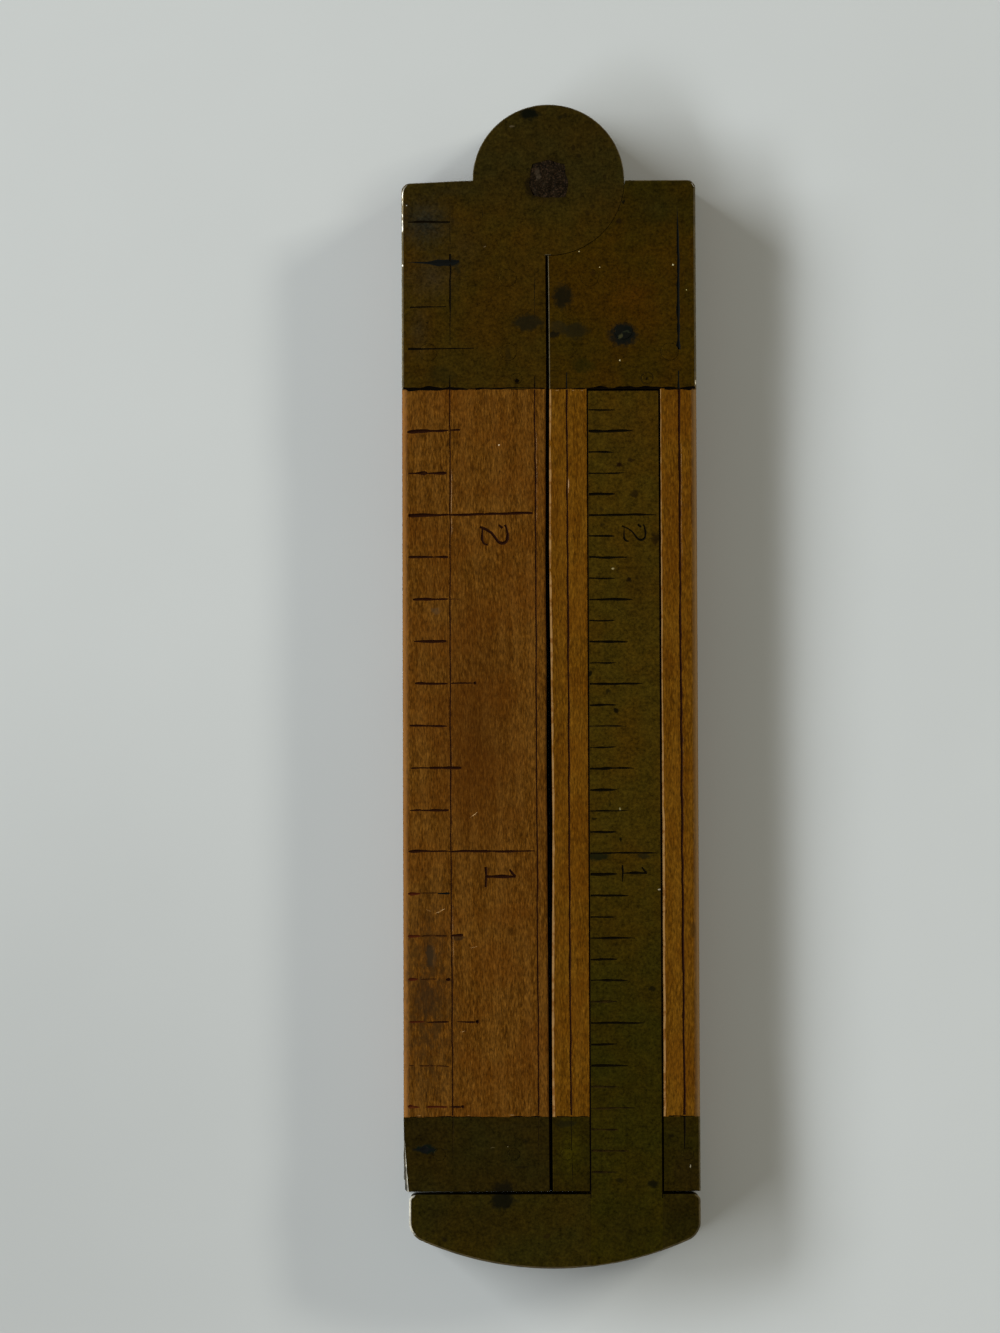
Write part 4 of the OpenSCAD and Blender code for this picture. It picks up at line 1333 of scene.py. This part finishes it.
def makePlainTip():
    tip = addTipBlank(-1, plainTipBrass)
    drill(tip, -1, 'tipPins')
    # the free corner is worn away, more and more towards the end
    ringCut(tip, list(tipLook['wear'])[:-1], 1)
    for y, shift in tipLook['wear'].items():
        shiftVertices(tip, lambda co: onOuter(co, -1) and near(co.y, y) and co.z > 3.9, (shift, 0, 0))
    roundTipEdges(tip, -1)
    # a bright rim down the worn corner: worn brass with painted highlight
    edge = -rule['outer'] + 0.02
    cutMarks(
        tip, wornEdgeHighlight,
        ([(edge + 0.03, -34.2), (edge + 0.1, -35.6), (edge + 0.18, -37), (edge + 0.26, -38.2)],
         [(0, 0.04), (0.4, 0.12), (1, 0.2)], 0.02, 0.3, 121),
        depth=0.9)
    cutMarks(
        tip, blackInk,
        ([(-10.55, -34.95), (-9.9, -34.93), (-9.5, -34.92), (-9.1, -34.93), (-7.7, -34.95)],
         [(0, 0.08), (0.2, 0.16), (0.36, 0.6), (0.5, 0.18), (1, 0.06)], 0.02, 0.12, 122),
        depth=0.3)
    cutMarks(
        tip, faintBrassInk,
        ([(-7.43, -32.5), (-7.42, -36.3)], [(0, 0.12), (0.6, 0.08), (1, 0.05)], 0.03, 0.4, 123),
        ([(-1.0, -32.5), (-1.02, -35.5)], [(0, 0.12), (0.6, 0.1), (1, 0.05)], 0.03, 0.4, 124))
    engraveBack(tip, -1, (rule['end'] + 1.5, rule['tipTop'] - 0.1), brassInk, 17)
    darkenFold(tip, -1)
    finishLegPiece(tip, -1, 'end_brass', 'tip')


def makeCaliperTip():
    tip = addTipBlank(1, caliperTipBrass)
    cutGroove(tip, (rule['end'] - past, rule['tipTop'] + past))
    drill(tip, 1, 'tipPins')
    roundTipEdges(tip, 1)
    darkenFold(tip, 1)
    cutMarks(
        tip, brassInk,
        ([(1.43, -32.5), (1.55, -37.5)], [(0, 0.1), (0.6, 0.08), (1, 0.05)], 0.03, 0.4, 125),
        ([(9.93, -32.5), (9.93, -35.9)], [(0, 0.16), (0.6, 0.12), (1, 0.05)], 0.03, 0.4, 126))
    engraveBack(tip, 1, (rule['end'] + 1.5, rule['tipTop'] - 0.1), brassInk, 19)
    finishLegPiece(tip, 1, 'end_brass', 'tip')


makePlainTip()
makeCaliperTip()


# The caliper: slide and jaw

slideLook = {
    'ticks': [5.1, 4, 3.35, 2.9, 2.05],        # inch, half, quarter, eighth, sixteenth
    'tickWidth': 0.2,
    'figureHeight': 1.88,
    'lastTick': 37,
    'weakTicks': (1, 2, 3, 4, 5, 9, 22),
    'scaleShift': -0.17,
    'scaleGrowth': 0.0042,                     # per sixteenth
}
jawLook = {'crown': 2.53, 'corner': 0.5, 'lowerCorner': 0.9, 'edge': 0.14, 'topEdge': 0.03, 'room': 0.012}
slideBrass = brassMaterial(
    'slideBrass', (40, 34, 3), (57, 42, 5), (-18, 12),
    [
        (6, 19, 3.5, 5, 0.7, (58, 38, 5)),
        (3.4, 20, 0.9, 2.6, 0.6, (44, 36, 7)),
        (6.8, 7.4, 2.7, 4.6, 0.85, (45, 33, 4)),
        (7.0, -9, 1.8, 5, 0.6, (46, 38, 4)),
        (5.6, -41, 3.4, 3.4, 0.9, (34, 27, 4)),
    ],
    [
        (5.24, 16.46, 0.32, 0.27, 0.9, (24, 12, 4)), (6.15, 16.84, 0.27, 0.19, 0.7, (32, 20, 6)),
        (6.36, 14.27, 0.32, 0.3, 0.7, (32, 22, 6)), (5.96, 7.77, 0.27, 0.22, 0.9, (22, 14, 4)),
        (4.93, -2.1, 0.27, 0.22, 0.95, (18, 14, 3)), (4.34, -0.59, 0.3, 0.19, 0.8, (24, 20, 4)),
        (2.98, 0.69, 0.19, 0.27, 0.9, (14, 12, 3)), (5.19, -11.73, 0.18, 0.18, 0.9, (14, 12, 3)),
        (4.45, -9.02, 0.14, 0.41, 0.6, (26, 22, 4)), (3.3, -10.14, 0.35, 0.14, 0.8, (18, 14, 3)),
        (7.55, -22.98, 0.41, 0.24, 0.85, (22, 18, 4)), (7.9, 10.9, 0.32, 0.54, 0.7, (28, 18, 5)),
        (3.9, 12.0, 0.19, 0.14, 0.6, (30, 22, 5)), (4.0, 13.2, 0.24, 0.19, 0.5, (34, 24, 6)),
        (4.2, -6.3, 0.41, 0.16, 0.6, (28, 26, 4)), (7.54, -37.48, 0.54, 0.35, 0.9, (20, 18, 6)),
        (5.07, -37.35, 0.38, 0.27, 0.7, (26, 22, 6)), (3.5, -13.0, 1.0, 0.42, 0.85, (20, 24, 10)),
        (7.0, -13.0, 0.7, 0.24, 0.7, (24, 24, 12)), (4.8, 8.6, 0.11, 0.11, 0.9, (170, 156, 110)),
        (5.2, -9.5, 0.09, 0.09, 0.9, (140, 130, 90)), (8.1, -15.5, 0.11, 0.11, 0.9, (170, 160, 130)),
    ])
jawBrass = brassMaterial(
    'jawBrass', (40, 33, 5), places=[
        (-5, -40.2, 4, 3, 0.7, (27, 22, 5)), (-8.6, -39.8, 2.6, 2.6, 0.8, (26, 20, 5)),
        (9.8, -40.0, 3.2, 4, 0.95, (15, 14, 2))],
    spots=[
        (-3.71, -38.75, 1.1, 0.85, 0.9, (16, 16, 8)), (-2.6, -38.8, 0.35, 0.2, 0.5, (26, 24, 10)),
        (-8.11, -41.6, 0.25, 0.2, 0.7, (24, 18, 7)), (-0.4, -41.4, 0.4, 0.3, 0.5, (34, 22, 8)),
        (7.4, -39.9, 0.3, 0.25, 0.5, (28, 22, 8)), (7.55, -38.3, 0.3, 0.2, 0.5, (28, 28, 12)),
    ])


def addJawBlank():
    x = (jawLow.x, jawHigh.x)
    half = (x[1] - x[0]) / 2
    radius = (half * half + jawLook['crown'] ** 2) / (2 * jawLook['crown'])
    jaw = addBlock('jaw', x, (jawLow.y, jawHigh.y), wholeZ)
    arc = addPost('arc', ((x[0] + x[1]) / 2, jawLow.y + radius), radius, throughRule, 496)
    combine(jaw, arc, 'INTERSECT')
    # a straight run beside each lower corner makes room for its rounding
    pickEdges(jaw, lambda a, b: upright(a, b) and a.y < jawHigh.y - 1
              and any(0.05 < abs(a.x - side) < 1.1 for side in x), -1)
    bpy.ops.mesh.dissolve_edges(use_verts=True)
    closeEdit()
    for y, radius in ((jawHigh.y, jawLook['corner']), (jawLow.y + jawLook['crown'], jawLook['lowerCorner'])):
        roundEdges(jaw, lambda a, b: any(uprightAt(side, y, 0.05, 0.05)(a, b) for side in x), radius, 8)
    return jaw


def makeSlide():
    tee = teeSection
    top = rule['thick']
    neckZ = (top - tee['neckThick'] - 0.01, top)
    flangeZ = (top - tee['neckThick'] - tee['flangeThick'], top - tee['neckThick'])
    slide = addBlock('slide', (tee['left'], tee['right']), (rule['jawTop'] - 0.3, rule['slideTop']), neckZ)
    flange = addBlock('flange', (tee['left'] - tee['flangeReach'], tee['right'] + tee['flangeReach']),
                      (rule['jawTop'] + 0.01, rule['slideTop']), flangeZ)
    combine(slide, flange, 'UNION')
    tenon = addJawBlank()
    keep = addBlock('keep', (tee['left'], tee['right']), (jawLow.y - past, rule['jawTop']),
                    (flangeZ[0], top + past))
    combine(tenon, keep, 'INTERSECT')
    combine(slide, tenon, 'UNION')
    giveSkins(slide, slideBrass, rubbedEdgeSheen, seamDirtAndShade)
    # the neck's edges and its top edge take slot 2, the dark seam colour: painted shade in the gaps round
    # the slide
    for x in (tee['left'], tee['right']):
        roundEdges(slide, onFace(top, lambda co: near(co.x, x) and co.y > rule['jawTop'] - 0.4), 0.05, 2, 2)
    roundEdges(slide, onFace(top, lambda co: near(co.y, rule['slideTop'])), 0.05, 2, 2)
    # edges at the crown take slot 1, rubbed brass with painted highlight
    roundEdges(slide, onFace(top, lambda co: co.y < -42), 0.1, 3, 1)
    strong, weak = [], []
    for i in range(1, slideLook['lastTick'] + 1):
        y = rule['end'] + i * rule['inch'] / 16 + slideLook['scaleShift'] + i * slideLook['scaleGrowth']
        chance = noise.noise(Vector((i * 2.13, 4.4, 0.7)))
        reach = slideLook['ticks'][rankOf(i, 16)] * (1 + 0.06 * chance)
        width = slideLook['tickWidth'] * (1 + 0.5 * noise.noise(Vector((i * 1.9, 9.1, 2.2))))
        slope = 0.03 * noise.noise(Vector((i * 1.3, 2.2, 6.1)))
        ends = [(0, width * 0.8), (0.4, width), (0.8, width * 0.9), (1, width * 0.4)]
        points = [(tee['left'] + 0.08, y), (tee['left'] + reach, y + slope)]
        kind = weak if i in slideLook['weakTicks'] else strong
        kind.append(stroke(points, ends, 0.05, 0.25, 200 + i))
    engrave(slide, strong, slideInk)
    engrave(slide, weak, faintBrassInk)
    engrave(slide, figureStrokes(2, 5.45, 11.98, 1.8, 0.2, seed=7), slideInk, turns=3)
    engrave(slide, figureStrokes(1, 5.32, -13.65, slideLook['figureHeight'], 0.2, seed=9), slideInk, turns=3)
    cutMarks(
        slide, faintBrassInk,
        ([(4.6, 6.0), (5.2, 5.5), (5.8, 4.9)], [0.04, 0.06, 0.04], 0.03, 0.15, 131),
        ([(6.7, -18.0), (7.9, -17.8)], [0.04, 0.07, 0.04], 0.05, 0.15, 132))
    finishPiece(slide, 'caliper_slide_brass', 'caliper', 'aged_brass', 'caliper_slide')


def makeJaw():
    tee, room = teeSection, jawLook['room']
    jaw = addJawBlank()
    floor = rule['thick'] - tee['neckThick'] - tee['flangeThick'] - room
    cutBlock(jaw, (tee['left'] - room, tee['right'] + room), (jawLow.y - past, jawHigh.y + past),
             (floor, rule['thick'] + past))
    giveSkins(jaw, jawBrass, rubbedEdgeSheen)

    def onTop(co):
        return near(co.y, rule['jawTop'])

    def besideSlide(co):
        return near(co.x, tee['left'], 0.03) or near(co.x, tee['right'], 0.03)

    # outer bevels take slot 1, rubbed brass with painted highlight
    for z in (0, rule['thick']):
        roundEdges(jaw, lambda a, b: onFace(z)(a, b) and not (both(a, b, besideSlide) or both(a, b, onTop)),
                   jawLook['edge'], 3, 1)
        roundEdges(jaw, onFace(z, onTop), jawLook['topEdge'], 1, 0)

    def leftRim(face):
        middle = face.calc_center_median()
        return face.material_index == 1 and middle.x < jawLow.x + 0.4 and middle.y > jawLow.y + 2.5

    coatFaces(jaw, wornEdgeHighlight, leftRim)        # worn bright, with painted highlight
    finishPiece(jaw, 'caliper_jaw_brass', 'caliper', 'aged_brass', 'caliper_jaw')


makeSlide()
makeJaw()


# Small parts keep their node's shape, with softened rims

def copyNode(node):
    takeHold(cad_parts[node])
    bpy.ops.object.duplicate()
    copy = bpy.context.object
    for key in list(copy.keys()):
        del copy[key]
    copy.parent = None
    openWhole(copy)
    bpy.ops.transform.resize(value=[perMetre] * 3, center_override=(0, 0, 0))
    bpy.ops.mesh.remove_doubles(threshold=0.0005)
    bpy.ops.mesh.dissolve_limited(angle_limit=math.radians(0.5))
    closeEdit()
    return copy


def softenCopy(node, radius, skin, body, slotName, name, marks=()):
    copy = copyNode(node)
    giveSkins(copy, skin)
    roundEdges(copy, lambda a, b: near(a.z, b.z), radius, 2)
    engrave(copy, marks, brassInk)
    finishPiece(copy, name, body, slotName, node)


leafBrass = brassMaterial('leafBrass', (92, 76, 36), metallic=0.8)
jointSteel = steelMaterial()
for leg, plateSkin, tipSkin in (
        ('caliper_leg', rightBrass, caliperTipBrass),
        ('plain_leg', leftBrass, plainTipBrass)):
    for kind, skin in (('_rivets', plateSkin), ('_brads', plateSkin), ('_tip_pins', tipSkin)):
        marks = plateMarks if leg + kind == 'plain_leg_rivets' else ()
        softenCopy(leg + kind, 0.03, skin, leg, 'aged_brass', leg + kind.rstrip('s') + '_heads', marks)
for leaf in ('caliper_leg_front_leaf', 'caliper_leg_back_leaf'):
    softenCopy(leaf, 0.05, jointSteel, 'caliper_leg', 'joint_steel', leaf + '_steel')
leaf = 'plain_leg_centre_leaf'
softenCopy(leaf, 0.05, leafBrass, 'plain_leg', 'aged_brass', leaf + '_brass')


# Floor, light and camera

studio = {
    'floor': (196, 200, 197),
    'paintedShadePart': (-42, -44, 48, 64),           # centre and reach of painted shade on the table
    'dusk': 0.155,
    'lamps': {                                 # place, size, watts, tint
        'upperKey': ((-1.308, 0.45, 0.666), (1, 0.42), 26.5, (0.91, 0.94, 1)),
        'lowerKey': ((-1.164, -0.45, 0.768), (0.84, 0.3), 9.7, (0.91, 0.94, 1)),
        'fill': ((1.3, 0.69, 0.625), (0.5, 0.18), 12, (1, 0.97, 0.9)),
    },
    'sky': (0.185, 0.171, 0.143),
}


def addFloor():
    clearSelection()
    bpy.ops.mesh.primitive_plane_add(size=3, location=(0, 0, 0))
    floor = bpy.context.object
    floor.name = 'floor'
    bench = Bench('paleTable', specular=0.1)
    paint = bench.noise(bench.place, 0.08, 3, 0.5)
    red, green, blue, _ = srgb(*studio['floor'])
    dull, bright = [(red * part, green * part, blue * part, 1) for part in (0.98, 1.02)]
    colour = bench.mix(paint, dull, bright)
    # painted shade: the table darker towards the lower left
    colour = bench.mix(bench.patch(*studio['paintedShadePart'], 1, 0) * studio['dusk'], colour, (0, 0, 0, 1))
    bench.finish(colour, 0.7 + (paint - 0.5) * 0.1, 0.0, paint, 0.01)
    floor.data.materials.append(bench.material)


def addLamp(name, place, size, watts, tint):
    lamp = bpy.data.lights.new(name, 'AREA')
    lamp.shape = 'RECTANGLE'
    lamp.size, lamp.size_y = size
    lamp.energy = watts
    lamp.color = tint
    holder = bpy.data.objects.new(name, lamp)
    holder.location = place
    holder.rotation_euler = (-Vector(place)).to_track_quat('-Z', 'Y').to_euler()
    bpy.context.scene.collection.objects.link(holder)


def addSky():
    world = bpy.data.worlds.new('softRoom')
    world.use_nodes = True
    world.node_tree.nodes['Background'].inputs['Color'].default_value = (*studio['sky'], 1)
    bpy.context.scene.world = world


# The view of the photograph, nearly straight down
cameraLook = {
    'x': -3.857, 'y': -21.754, 'above': 420,   # millimetres over the rule's face
    'tilt': 0.05479, 'turn': -0.00334,
    'lens': 150.98, 'sensor': 36,
}


def addCamera():
    look = cameraLook
    lens = bpy.data.cameras.new('camera')
    lens.sensor_fit = 'AUTO'
    lens.sensor_width = look['sensor']
    lens.lens = look['lens']
    lens.clip_start = 0.01
    camera = bpy.data.objects.new('camera', lens)
    camera.location = Vector((look['x'], look['y'], look['above'] + rule['thick'])) / perMetre
    camera.rotation_euler = (look['tilt'], 0, look['turn'])
    bpy.context.scene.collection.objects.link(camera)
    bpy.context.scene.camera = camera


addFloor()
for name, look in studio['lamps'].items():
    addLamp(name, *look)
addSky()
addCamera()
bpy.context.scene.view_settings.view_transform = 'Standard'
print('stage set')
